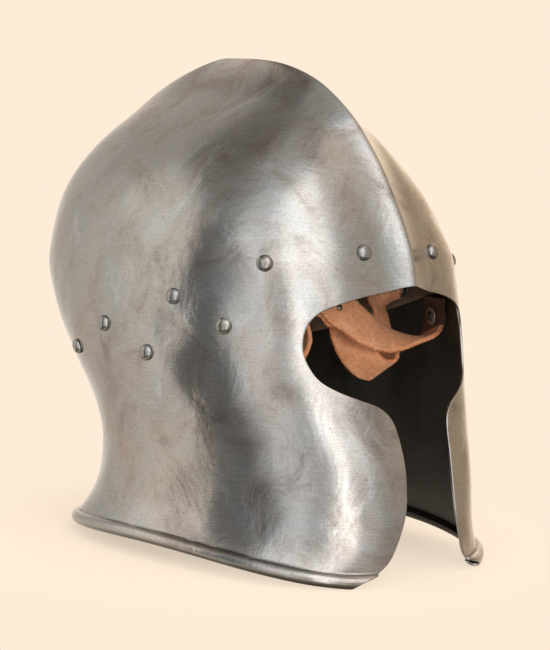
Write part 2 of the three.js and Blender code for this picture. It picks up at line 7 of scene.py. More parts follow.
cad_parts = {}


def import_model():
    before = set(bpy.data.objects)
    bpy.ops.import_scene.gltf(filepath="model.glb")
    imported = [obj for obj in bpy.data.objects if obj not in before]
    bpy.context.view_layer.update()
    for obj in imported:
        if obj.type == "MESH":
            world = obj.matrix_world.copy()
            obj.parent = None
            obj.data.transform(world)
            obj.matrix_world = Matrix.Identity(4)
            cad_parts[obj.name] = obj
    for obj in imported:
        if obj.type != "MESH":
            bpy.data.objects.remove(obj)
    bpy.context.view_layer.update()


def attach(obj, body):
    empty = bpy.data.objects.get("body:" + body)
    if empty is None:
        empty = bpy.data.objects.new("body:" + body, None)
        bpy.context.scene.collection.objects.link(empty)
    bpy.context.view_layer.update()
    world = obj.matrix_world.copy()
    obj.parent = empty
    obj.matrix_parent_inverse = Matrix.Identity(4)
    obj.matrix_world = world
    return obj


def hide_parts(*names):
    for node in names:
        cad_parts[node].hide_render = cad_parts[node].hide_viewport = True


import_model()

# The helmet's sections are drawn in millimetres about an upright axis
# This takes them to the frame's own origin
SHIFT = np.array([0.0, -17.093, -0.259])
MM = 0.001

# Skull: the same values as the solids
HEIGHT = 290.0
SHEET = 1.6
KEEL_HEIGHT, KEEL_HALF_WIDTH, KEEL_EDGE = 6.4, 22.0, 0.9
CROWN_SET_BACK = 47.0
BROW_REACH, BROW_HEIGHT = 110.0, 168.0
BROW_EASE, BROW_SLOPE = 18.0, 0.45
CHEEK_REACH = 137.0
BACK_REACH, BACK_HEIGHT = 163.0, 168.0
NAPE_REACH, NAPE_HEIGHT = 96.5, 59.0
REAR_RIM_REACH = 113.0
HALF_WIDTH, WIDEST_HEIGHT, WIDEST_SET_BACK = 101.6, 126.0, 5.0
NECK_HALF_WIDTH, NECK_HEIGHT = 90.6, 50.0
RIM_HALF_WIDTH, RIM_ARCH, TIP_REACH, REST_DROP = 103.0, 9.7, 125.0, 0.2
CHEEK_SLOPE, REAR_RIM_SLOPE, SIDE_RIM_SLOPE = 0.15, -0.66, -0.97
FRONT_DOME, BACK_DOME, SIDE_DOME, MIDDLE_DOME = (1.04, 3.08), (2.7, 1.3), (3.1, 0.77), (2.0, 2.0)
FRONT_FULLNESS, BACK_FULLNESS = 0.68, 0.617
CROWN_THICKENING = 1.2
WIRE_RADIUS, CLEARANCE, ROLL_OFFSET = 2.0, 0.3, 0.8
ROLL_RADIUS = WIRE_RADIUS + CLEARANCE + SHEET
ROLL_HEIGHT = 2 * ROLL_RADIUS
ROLL_START, ROLL_END = 99.0, -195.0
OPENING_HALF_ANGLE = 35.5
OPENING = [
    (0, 0.561), (0.25, 0.553), (0.5, 0.543), (0.73, 0.528), (0.89, 0.51), (0.975, 0.484),
    (1, 0.45), (0.965, 0.418), (0.87, 0.386), (0.73, 0.366), (0.56, 0.35), (0.41, 0.336),
    (0.325, 0.318), (0.277, 0.293), (0.246, 0.245), (0.238, 0.2), (0.252, 0.141), (0.305, 0.091),
    (0.375, 0.048), (0.47, 0.024), (0.541, 0.0135), (0.595, 0.005),
]
OPENING_FOOT = (0.95, -0.05)
OPENING_SAMPLES, OPENING_MIRRORED = 24, 3
# Steps and limits of the sums
SHORTEST, SHORTEST_SPAN = 1e-12, 1e-4
KEEL_STEP, TURN_STEP, HEIGHT_STEP = 0.1 * KEEL_HEIGHT, 0.002, 0.16
HALVINGS = 40


def dome(z, spring, top, shape):
    climb = np.clip((z - spring) / (top - spring), 0, 1)
    return (1 - climb ** shape[0]) ** (1 / shape[1])


def passage(z, above, low, high, low_size, high_size, low_slope):
    """A size that eases over from low to high, under one that holds above."""
    span = high - low
    t = np.clip((z - low) / span, 0, 1)
    ease = t * t * (3 - 2 * t)
    size = low_size + (high_size - low_size) * ease + span * low_slope * t * (1 - t) ** 2
    return np.where(z < high, size, above)


def brow_bend(z):
    """How far the face is drawn in round the brow line, so that its two slopes meet in a soft bend."""
    return BROW_SLOPE * np.maximum(0, BROW_EASE - np.abs(z - BROW_HEIGHT)) ** 2 / (4 * BROW_EASE)


def section(z, inset):
    """Front, back, half-width and middle of the section at height z."""
    top = HEIGHT - KEEL_HEIGHT - CROWN_THICKENING * inset
    brow, back, side = BROW_REACH - inset, BACK_REACH - inset, HALF_WIDTH - inset
    nape, neck = NAPE_REACH - inset, NECK_HALF_WIDTH - inset
    front = -CROWN_SET_BACK + (brow + CROWN_SET_BACK) * dome(z, BROW_HEIGHT, top, FRONT_DOME)
    front = passage(z, front, RIM_ARCH, BROW_HEIGHT, CHEEK_REACH - inset, brow, CHEEK_SLOPE)
    rear = CROWN_SET_BACK + (back - CROWN_SET_BACK) * dome(z, BACK_HEIGHT, top, BACK_DOME)
    rear = passage(z, rear, NAPE_HEIGHT, BACK_HEIGHT, nape, back, 0)
    rear = passage(z, rear, RIM_ARCH, NAPE_HEIGHT, REAR_RIM_REACH - inset, nape, REAR_RIM_SLOPE)
    half = side * dome(z, WIDEST_HEIGHT, top, SIDE_DOME)
    half = passage(z, half, NECK_HEIGHT, WIDEST_HEIGHT, neck, side, 0)
    half = passage(z, half, RIM_ARCH, NECK_HEIGHT, RIM_HALF_WIDTH - inset, neck, SIDE_RIM_SLOPE)
    ring = np.where(z < WIDEST_HEIGHT, 1, dome(z, WIDEST_HEIGHT, top, MIDDLE_DOME))
    return front - brow_bend(z), rear, half, CROWN_SET_BACK + (WIDEST_SET_BACK - CROWN_SET_BACK) * ring


def unit(v):
    return v / np.maximum(np.linalg.norm(v, axis=-1, keepdims=True), SHORTEST)


def keel_direction(way, z, inset):
    """Square to the medial profile, in front or behind; the keel stands out this way."""
    high = np.minimum(z, HEIGHT - KEEL_HEIGHT - CROWN_THICKENING * inset - KEEL_STEP)
    above, below = section(high + KEEL_STEP / 2, inset), section(high - KEEL_STEP / 2, inset)
    nothing = np.zeros_like(high)
    forward, backward = [unit(np.stack([nothing, nothing + lean, lower - upper], -1))
                         for lean, lower, upper in zip((-KEEL_STEP, KEEL_STEP), below, above)]
    share = (np.sin(np.pi * way / 4) ** 2)[..., None]
    return unit(forward * (1 - share) + backward * share)


def skull_point(turn, z, inset=0.0):
    """Points of the skull. The turn is 0 at the face, 1 at the ear and 2 at the nape, negative on -X."""
    turn, z = np.broadcast_arrays(np.asarray(turn, float), np.asarray(z, float))
    way = np.abs(turn)
    front, rear, half, mid = section(z, inset)
    ahead = way <= 1
    full = np.where(ahead, FRONT_FULLNESS, BACK_FULLNESS)
    t = np.where(ahead, way, 2 - way)
    across = 3 * t * (1 - t) ** 2 * full + 3 * t * t * (1 - t) + t ** 3
    along = (1 - t) ** 3 + 3 * t * (1 - t) ** 2 + 3 * t * t * (1 - t) * full
    x = np.sign(turn) * half * across
    y = np.where(ahead, mid - (mid + front) * along, mid + (rear - mid) * along)
    fade = np.where(ahead, 1, np.clip((z - NAPE_HEIGHT) / (BACK_HEIGHT - NAPE_HEIGHT), 0, 1))
    reach = np.sqrt(x * x + KEEL_EDGE ** 2) - KEEL_EDGE
    rise = KEEL_HEIGHT * fade * np.clip(1 - reach / KEEL_HALF_WIDTH, 0, 1) ** 2
    return np.stack([x, y, z], -1) + keel_direction(way, z, inset) * rise[..., None]


def skull_normal(turn, z):
    along = skull_point(turn + TURN_STEP, z) - skull_point(turn - TURN_STEP, z)
    up = skull_point(turn, z + HEIGHT_STEP) - skull_point(turn, z - HEIGHT_STEP)
    return unit(np.cross(along, up))


def turn_at(angle, z):
    """The turn that stands at an angle round from the face, in degrees, at height z."""
    wanted = np.radians(np.asarray(angle, float))
    low, high = np.zeros_like(wanted), np.full_like(wanted, 2.0)
    for _ in range(HALVINGS):
        middle = (low + high) / 2
        p = skull_point(middle, z)
        less = np.arctan2(p[..., 0], -p[..., 1]) < wanted
        low, high = np.where(less, middle, low), np.where(less, high, middle)
    return low


def rim_lift(turn):
    """How far the rim rises off the ground; it arches between the cheek tips and the nape."""
    middle, reach = (REAR_RIM_REACH - TIP_REACH) / 2, (REAR_RIM_REACH + TIP_REACH) / 2
    y = skull_point(turn, RIM_ARCH)[..., 1]
    return np.maximum(0, (RIM_ARCH + REST_DROP) * (1 - ((y - middle) / reach) ** 2) - REST_DROP)


def levelled(height, lift):
    return height + lift * np.clip(1 - (height - ROLL_HEIGHT) / (NECK_HEIGHT - ROLL_HEIGHT), 0, 1)


def cubic(p1, p2, t1, t2, count):
    """A span from p1 to p2 with the tangents t1 and t2, without its last point."""
    a, b = 2 * p1 - 2 * p2 + t1 + t2, -3 * p1 + 3 * p2 - 2 * t1 - t2
    return [a * w ** 3 + b * w * w + t1 * w + p1 for w in np.arange(count) / count]


def spline(points, count):
    """A Catmull-Rom curve through points, count samples to each span."""
    p = np.asarray(points, float)
    q = np.concatenate([p[:1], p, p[-1:]])
    out = []
    for p0, p1, p2, p3 in zip(q, q[1:], q[2:], q[3:]):
        out += cubic(p1, p2, (p2 - p0) / 2, (p3 - p1) / 2, count)
    return np.array(out + [p[-1]])


def centripetal(points, count):
    """Points and unit tangents of a centripetal Catmull-Rom curve, count samples to each span."""
    p = np.asarray(points, float)
    q = np.concatenate([[2 * p[0] - p[1]], p, [2 * p[-1] - p[-2]]])
    out = []
    for p0, p1, p2, p3 in zip(q, q[1:], q[2:], q[3:]):
        d = [max(np.sum((b - a) ** 2) ** 0.25, SHORTEST_SPAN) for a, b in ((p0, p1), (p1, p2), (p2, p3))]
        t1 = ((p1 - p0) / d[0] - (p2 - p0) / (d[0] + d[1]) + (p2 - p1) / d[1]) * d[1]
        t2 = ((p2 - p1) / d[1] - (p3 - p1) / (d[1] + d[2]) + (p3 - p2) / d[2]) * d[1]
        out += cubic(p1, p2, t1, t2, count)
    out = np.array(out + [p[-1]])
    return out, unit(np.gradient(out, axis=0))


# The opening's edge as an angle for each height
half_outline = [(a * OPENING_HALF_ANGLE, h * HEIGHT) for a, h in OPENING]
mirrored = [(-a, h) for a, h in half_outline[OPENING_MIRRORED:0:-1]]
edge_curve = spline(mirrored + half_outline, OPENING_SAMPLES)[OPENING_MIRRORED * OPENING_SAMPLES:]
edge_curve = np.concatenate([edge_curve, [(OPENING_FOOT[0] * OPENING_HALF_ANGLE, OPENING_FOOT[1] * HEIGHT)]])
APEX = edge_curve[0, 1]


def edge_angle(z):
    return np.interp(z, edge_curve[::-1, 1], edge_curve[::-1, 0])


# Hammering: soft waves and shallow overlapping dents, the same for every surface of the sheet
HAMMER_SEED, PHASE_END = 11, 6.28
WAVE_COUNT, WAVE_LENGTHS, WAVE_DEPTHS = 14, (34, 85), (0.05, 0.16)
DENT_COUNT, DENT_TURNS, DENT_HEIGHTS = 900, (-2, 2), (8, 282)
DENT_RADII, DENT_DEPTHS, DENT_REACH, DENT_SPREAD = (4.5, 10.5), (-0.03, 0.075), 2.5, 1.6
rng = np.random.default_rng(HAMMER_SEED)
hammer_waves = [(unit(rng.normal(size=3)), rng.uniform(*WAVE_LENGTHS), rng.uniform(0, PHASE_END),
                 rng.uniform(*WAVE_DEPTHS)) for _ in range(WAVE_COUNT)]
dent_turns, dent_heights = rng.uniform(*DENT_TURNS, DENT_COUNT), rng.uniform(*DENT_HEIGHTS, DENT_COUNT)
dent_radii, dent_depths = rng.uniform(*DENT_RADII, DENT_COUNT), rng.uniform(*DENT_DEPTHS, DENT_COUNT)
hammer_dents = list(zip(skull_point(dent_turns, dent_heights), dent_radii, dent_depths))


def hammered(points):
    """How far in each point of the surface is beaten, in mm."""
    flat = points.reshape(-1, 3)
    depth = np.zeros(len(flat))
    for way, length, phase, size in hammer_waves:
        depth += size * np.sin(flat @ way * 2 * np.pi / length + phase)
    for centre, radius, size in hammer_dents:
        near = np.abs(flat[:, 2] - centre[2]) < DENT_REACH * radius
        gap = np.sum((flat[near] - centre) ** 2, axis=1)
        depth[near] += size * np.exp(-gap / (2 * (radius / DENT_SPREAD) ** 2))
    return depth.reshape(points.shape[:-1])


def to_frame(points):
    return (np.asarray(points) + SHIFT) * MM


def new_object(name, data):
    obj = bpy.data.objects.new(name, data)
    bpy.context.scene.collection.objects.link(obj)
    return obj


def mesh_object(name, points, faces, material):
    """A smooth-shaded mesh from points in the sections' millimetres."""
    mesh = bpy.data.meshes.new(name)
    mesh.from_pydata(to_frame(points).tolist(), [], faces)
    mesh.validate()
    mesh.polygons.foreach_set("use_smooth", [True] * len(mesh.polygons))
    mesh.materials.append(material)
    return new_object(name, mesh)


def piece(obj, nodes, body="root"):
    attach(obj, body)
    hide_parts(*nodes)


def grid_faces(rows, cols, closed_rows=False):
    """Faces between rings of points, one ring after another."""
    out = []
    for r in range(rows if closed_rows else rows - 1):
        a, b = r * cols, (r + 1) % rows * cols
        out += [(a + c, b + c, b + d, a + d) for c in range(cols) for d in [(c + 1) % cols]]
    return out


def end_faces(rows, cols):
    """The first and the last ring closed, each by one face."""
    return [tuple(range(cols - 1, -1, -1)), tuple(range((rows - 1) * cols, rows * cols))]


def put_value(mesh, name, values):
    layer = mesh.attributes.new(name, "FLOAT", "POINT")
    layer.data.foreach_set("value", np.asarray(values, np.float32))


# Materials
# The darkening of the roll's underside and its crease: grime with painted shade and reflection
GRIME_AND_SHADE_TONE = (0.055, 0.056, 0.05)
STEEL_TONES = [(0.31, 0.275, 0.26), (0.47, 0.435, 0.405), (0.52, 0.50, 0.475), (0.49, 0.505, 0.495),
               (0.64, 0.63, 0.61)]
STEEL_PLACES = (0.3, 0.43, 0.52, 0.6, 0.72)
WARM_TINT, NO_TINT, COOL_TINT = (1.05, 0.99, 0.95), (1.0, 1.0, 1.0), (0.95, 0.985, 0.99)
# Noises: scale per metre, detail, roughness, distortion
CLOUD, PATCH, SPECK, PITS = (26, 7, 0.68, 0.9), (9, 4, 0.6, 0.5), (950, 3, 0.6), (420, 3, 0.5)
WEAR, WAVINESS, RIPPLE = (40, 7, 0.7, 1.0), (26, 3, 0.5, 0.9), (130, 4, 0.6)
LINES, GRAIN, SCRATCH = (1, 4, 0.65), (1, 2, 0.6), (1, 1, 0.4)
SOOT, MOTTLE, FIBRE, CREASES = (22, 6, 0.65, 0.5), (70, 6, 0.7, 0.6), (950, 4, 0.75, 0.6), (260, 4, 0.6)
# How far those of the brushing and of the fibres are drawn out, and each scratch's turn and draw
LINES_DRAW, GRAIN_DRAW, FIBRE_DRAW = (70, 2400, 1), (260, 5200, 1), (1, 1, 1.6)
SCRATCHES = [(0.9, (40, 1500, 40)), (-0.5, (60, 1900, 60)), (2.2, (50, 1700, 50))]
SCRATCH_LEAN = 0.4


class Graph:
    """The nodes of one material, or of the world."""

    def __init__(self, owner):
        owner.use_nodes = True
        self.nodes, self.links = owner.node_tree.nodes, owner.node_tree.links

    def fill(self, node, inputs):
        """Sets a node's inputs, each to a value or to another node's socket."""
        for key, value in inputs.items():
            if isinstance(value, bpy.types.NodeSocket):
                self.links.new(value, node.inputs[key])
            else:
                node.inputs[key].default_value = value
        return node

    def add(self, kind, inputs=None, **settings):
        node = self.nodes.new("ShaderNode" + kind)
        for key, value in settings.items():
            setattr(node, key, value)
        return self.fill(node, inputs or {})

    def ramp(self, factor, *stops):
        """Colours along a factor; a single number stands for a grey."""
        node = self.add("ValToRGB", {"Fac": factor})
        colours = [(place, (*([tone] * 3 if isinstance(tone, float) else tone), 1)) for place, tone in stops]
        first, last = node.color_ramp.elements
        (first.position, first.color), (last.position, last.color) = colours[0], colours[-1]
        for place, colour in colours[1:-1]:
            node.color_ramp.elements.new(place).color = colour
        return node.outputs["Color"]

    def noise(self, vector, scale, detail, rough, distortion=0.0):
        return self.add("TexNoise", {"Vector": vector, "Scale": scale, "Detail": detail, "Roughness": rough,
                                     "Distortion": distortion}).outputs["Fac"]

    def drawn(self, vector, scale, turn=(0, 0, 0)):
        return self.add("Mapping", {"Vector": vector, "Rotation": turn, "Scale": scale}).outputs["Vector"]

    def between(self, value, low, high):
        """The value's share of the way from low to high."""
        return self.add("MapRange", {"Value": value, "From Min": low, "From Max": high}).outputs["Result"]

    def mix(self, factor, first, second, blend="MIX"):
        inputs = {0: factor, 6: first, 7: second}
        inputs = {key: (*value, 1) if isinstance(value, tuple) else value for key, value in inputs.items()}
        return self.add("Mix", inputs, data_type="RGBA", blend_type=blend).outputs[2]

    def bumps(self, *layers):
        """Bumps one on another, each with its height, strength and distance."""
        normal = None
        for height, strength, distance in layers:
            node = self.add("Bump", {"Height": height, "Strength": strength, "Distance": distance})
            normal = self.fill(node, {"Normal": normal} if normal else {}).outputs["Normal"]
        return normal

    def blend_surfaces(self, factor, first, second, output):
        blend = self.add("MixShader", {0: factor, 1: first.outputs[0], 2: second.outputs[0]})
        self.fill(self.nodes[output], {"Surface": blend.outputs[0]})


def new_material(name):
    material = bpy.data.materials.new(name)
    graph = Graph(material)
    return material, graph, graph.nodes["Principled BSDF"]


def steel_material(name, tones, rough, brush=1.0):
    """Hand-finished steel: brushed lines round the helmet, warm and cool clouding, pits and a few scratches."""
    material, graph, shader = new_material(name)
    coords = graph.add("TexCoord").outputs
    place, run = coords["Object"], coords["UV"]
    speck = graph.noise(place, *SPECK)
    lines = graph.noise(graph.drawn(run, LINES_DRAW), *LINES)
    grain = graph.noise(graph.drawn(run, GRAIN_DRAW), *GRAIN)
    colour = graph.ramp(graph.noise(place, *CLOUD), *zip(STEEL_PLACES, tones))
    layers = [
        (0.9, graph.ramp(graph.noise(place, *PATCH), (0.36, WARM_TINT), (0.5, NO_TINT), (0.64, COOL_TINT))),
        (0.8 * brush, graph.ramp(lines, (0.32, 0.8), (0.62, 1.02))),
        (0.75, graph.ramp(speck, (0.3, 0.8), (0.62, 1.04))),
        (0.5, graph.ramp(graph.noise(place, *PITS), (0.25, 0.3), (0.31, 1.0))),
    ]
    for share, layer in layers:
        colour = graph.mix(share, colour, layer, "MULTIPLY")
    scratch = (0.0, 0.0, 0.0)
    for turn, draw in SCRATCHES:
        slant = graph.drawn(place, draw, (turn, SCRATCH_LEAN * turn, turn))
        mark = graph.ramp(graph.noise(slant, *SCRATCH), (0.74, 0.0), (0.79, 0.5))
        scratch = graph.mix(1.0, scratch, mark, "ADD")
    colour = graph.mix(scratch, colour, tones[-1])
    # Darkened by a point attribute: grime, with painted shade and reflection under the roll and in its crease
    grime_and_shade = graph.add("Attribute", attribute_name="grime_and_shade").outputs["Fac"]
    wear = graph.ramp(graph.noise(place, *WEAR), (0.3, rough * 0.75), (0.7, rough * 1.4))
    finish = graph.ramp(lines, (0.3, rough * 0.7), (0.7, rough * 1.4))
    graph.fill(shader, {
        "Base Color": graph.mix(grime_and_shade, colour, GRIME_AND_SHADE_TONE),
        "Metallic": 1.0,
        "Roughness": graph.mix(0.35, wear, finish),
        "Anisotropic": 0.5 * brush,
        "Anisotropic Rotation": 0.25,
        "Tangent": graph.add("Tangent", direction_type="RADIAL", axis="Z").outputs["Tangent"],
        "Normal": graph.bumps(
            (graph.noise(place, *WAVINESS), 0.5, 0.0014), (graph.noise(place, *RIPPLE), 0.1, 0.0006),
            (speck, 0.1, 0.0003), (lines, 0.2 * brush, 0.0003), (grain, 0.2 * brush, 0.0002)),
    })
    return material


def black_material():
    """The inside of the sheet: near black, with a dull, uneven skin."""
    material, graph, shader = new_material("near_black_inside")
    place = graph.add("TexCoord").outputs["Object"]
    soot = graph.noise(place, *SOOT)
    graph.fill(shader, {
        "Base Color": graph.ramp(soot, (0.3, (0.018, 0.018, 0.016)), (0.7, (0.06, 0.056, 0.05))),
        "Roughness": graph.ramp(soot, (0.3, 0.5), (0.7, 0.72)),
        "Metallic": 0.3,
        "Normal": graph.bumps((graph.noise(place, *CREASES), 0.3, 0.0006)),
    })
    return material


def leather_material(name, tones, rough, nap, edge_tone=None, smooth_and_shade_tone=None):
    """Leather: fibres and mottling, with a warmer cut edge and, where the mesh says so, a dark smooth side: the
    grain side's tone deepened by painted shade.
    """
    material, graph, shader = new_material(name)
    place = graph.add("TexCoord").outputs["Object"]
    fibre = graph.noise(graph.drawn(place, FIBRE_DRAW), *FIBRE)
    flecks = graph.ramp(fibre, (0.33, 0.5), (0.62, 1.22))
    colour = graph.ramp(graph.noise(place, *MOTTLE), *zip((0.28, 0.5, 0.74), tones))
    colour = graph.mix(0.85, colour, flecks, "MULTIPLY")
    for attribute, tone, share in (("cut", edge_tone, 0.8), ("smooth_side_and_shade", smooth_and_shade_tone, 0.4)):
        if tone:
            where = graph.add("Attribute", attribute_name=attribute).outputs["Fac"]
            colour = graph.mix(where, colour, graph.mix(share, tone, flecks, "MULTIPLY"))
    graph.fill(shader, {
        "Base Color": colour,
        "Roughness": rough,
        "Sheen Weight": nap,
        "Sheen Roughness": 0.45,
        "Sheen Tint": (*tones[-1], 1),
        "Specular IOR Level": 0.25,
        "Normal": graph.bumps((fibre, 0.5, 0.0006), (graph.noise(place, *CREASES), 0.4, 0.001)),
    })
    return material


def toned(share):
    return [tuple(share * c for c in tone) for tone in STEEL_TONES]


STEEL = steel_material("hammered_steel", STEEL_TONES, 0.12)
RIVET_STEEL = steel_material("rivet_steel", toned(0.76), 0.22, brush=0.25)
WASHER_STEEL = steel_material("washer_steel", toned(1.15), 0.55, brush=0.1)
TAIL_STEEL = steel_material("tail_steel", toned(0.3), 0.5, brush=0.1)
# Dark steel for the rim wire, and as painted shade on the curl under the roll
WIRE_AND_SHADED_CURL_STEEL = steel_material("wire_steel", toned(0.25), 0.5, brush=0.2)
INSIDE = black_material()
# The smooth side's tone: the grain side deepened by painted shade
SUEDE = leather_material("suede", [(0.64, 0.27, 0.13), (0.81, 0.375, 0.195), (0.91, 0.48, 0.28)], 0.95, nap=0.25,
                         edge_tone=(0.84, 0.36, 0.175), smooth_and_shade_tone=(0.1, 0.05, 0.036))
LINING = leather_material("lining_leather", [(0.12, 0.08, 0.06), (0.2, 0.135, 0.1), (0.31, 0.21, 0.155)], 0.6,
                          nap=0.1)


# Skull
ROW_STEP = 2.2
WALL_COLUMNS = 165
KEEL_COLUMNS, KEEL_SHARE, KEEL_CROWDING = 9, 0.055, 1.25
ROW_SAMPLES, CROWN_START_SHARE, CROWN_CROWDING = 6000, 0.0008, 1.6
APEX_ROOM, APEX_MARGIN, SMALLEST_ROW, START_TRIES = 0.25, 0.01, 0.12, 3
OPENING_RADIUS = 108
INNER_CROWN_DROP = 0.15
ROLL_ROWS, ROLL_TRIM = 34, 1.3
ROLL_HAMMERING_SHARE = 0.35
CROWN_DROP = 0.05 * KEEL_EDGE
EDGE_BULGE, EDGE_STEPS, ROLL_BULGE_SHARE = 0.42, 5, 0.6
# Where the roll turns under, in degrees, and how dark it gets there and in the crease above it: some grime, with
# painted shade and painted dark reflection
CURL_ANGLE = -100
UNDER_START, UNDER_SPAN, UNDER_DARK = 4, 40, 0.92
CREASE_START, CREASE_SPAN, CREASE_RISE, CREASE_DARK = 70, 25, 1.6, 0.4
OUTER_SKIN, INNER_SKIN, CURL_SKIN = 0, 1, 2
# The brushing runs round an upright line behind the middle
BRUSH_CENTRE, BRUSH_RADIUS = 20, 105


def skull_rows():
    """Heights of the rows from the crown down to the roll's top, about evenly spaced on the steel."""
    top = HEIGHT - KEEL_HEIGHT
    z = top - (top - ROLL_HEIGHT) * np.linspace(CROWN_START_SHARE, 1, ROW_SAMPLES) ** CROWN_CROWDING
    steps = np.zeros(len(z))
    for turn in (0.0, 1.0, 2.0):
        gap = np.linalg.norm(np.diff(skull_point(turn, z), axis=0), axis=1)
        steps[1:] = np.maximum(steps[1:], gap)
    along_edge = np.hypot(np.diff(np.radians(edge_angle(z)) * OPENING_RADIUS), np.diff(z))
    steps[1:] = np.where(z[1:] < APEX, np.maximum(steps[1:], along_edge), steps[1:])
    length = np.cumsum(steps)
    rows = np.interp(np.linspace(0, length[-1], int(length[-1] / ROW_STEP)), length, z)
    rows = rows[np.abs(rows - APEX) > APEX_ROOM]
    keep = [rows[0]]
    for row in rows[1:]:
        if keep[-1] - row > SMALLEST_ROW:
            keep.append(row)
    return np.array(sorted(keep + [APEX], reverse=True))


def column_turns(start, every=1):
    """Turns from the opening's edge, or the keel, round to the nape."""
    near = KEEL_SHARE * np.linspace(0, 1, KEEL_COLUMNS + 1)[:-1] ** KEEL_CROWDING
    wall = np.linspace(KEEL_SHARE, 1 - KEEL_SHARE, WALL_COLUMNS)
    return start + (2 - start) * np.concatenate([near, wall, 1 - near[::-1]])[::every]


def start_turn(z):
    return float(turn_at(edge_angle(z), z)) if z < APEX else 0.0


def roll_seat(turns):
    """The rim's lift, the wall's point and its outward way, where the roll starts."""
    lifts = rim_lift(turns)
    foot_z = levelled(ROLL_HEIGHT, lifts)
    away = skull_normal(turns, foot_z)
    away[:, 2] = 0
    return lifts, skull_point(turns, foot_z), unit(away)


def skull_grids():
    """Outer and inner points of the sheet, row by row from the crown over the wall and round the roll."""
    heights = skull_rows()
    outer, inner = [], []
    for z in heights:
        start = start_turn(z)
        for _ in range(START_TRIES if z < NECK_HEIGHT else 1):
            real = levelled(z, rim_lift(start))
            start = start_turn(real) if real < APEX - APEX_MARGIN else start
        turns = column_turns(start)
        lifts = rim_lift(turns)
        high = min(z, HEIGHT - KEEL_HEIGHT - CROWN_THICKENING * SHEET - INNER_CROWN_DROP)
        outer.append(skull_point(turns, levelled(z, lifts)))
        inner.append(skull_point(turns, levelled(high, lifts), SHEET))
    for angle in np.radians(np.linspace(ROLL_START, ROLL_END, ROLL_ROWS)):
        up = ROLL_RADIUS + ROLL_RADIUS * math.sin(angle)
        trim = ROLL_TRIM * max(math.cos(angle), 0)
        start = start_turn(up)
        for _ in range(START_TRIES):
            z = up + float(rim_lift(start))
            start = float(turn_at(edge_angle(z) + trim, z))
        lifts, foot, away = roll_seat(column_turns(start))
        for grid, radius in ((outer, ROLL_RADIUS), (inner, ROLL_RADIUS - SHEET)):
            p = foot + away * (ROLL_OFFSET + radius * math.cos(angle))
            p[:, 2] = lifts + ROLL_RADIUS + radius * math.sin(angle)
            grid.append(p)
    return np.array(outer), np.array(inner), heights


def both_sides(grid):
    """Left half to the nape and back along the right half."""
    right = grid[:, ::-1] * np.array([-1, 1, 1])
    return np.concatenate([grid, right[:, 1:]], axis=1)


def grime_and_shade_rows(heights, round_roll):
    """How dark each row is, as grime with painted shade and reflection: under the roll, and in the crease where it
    meets the wall.
    """
    under = UNDER_DARK * np.clip((UNDER_START - round_roll) / UNDER_SPAN, 0, 1)
    crease = CREASE_DARK * np.clip((round_roll - CREASE_START) / CREASE_SPAN, 0, 1)
    wall = CREASE_DARK * np.clip(1 - (heights - heights[-1]) / CREASE_RISE, 0, 1)
    return np.concatenate([wall, under + crease])


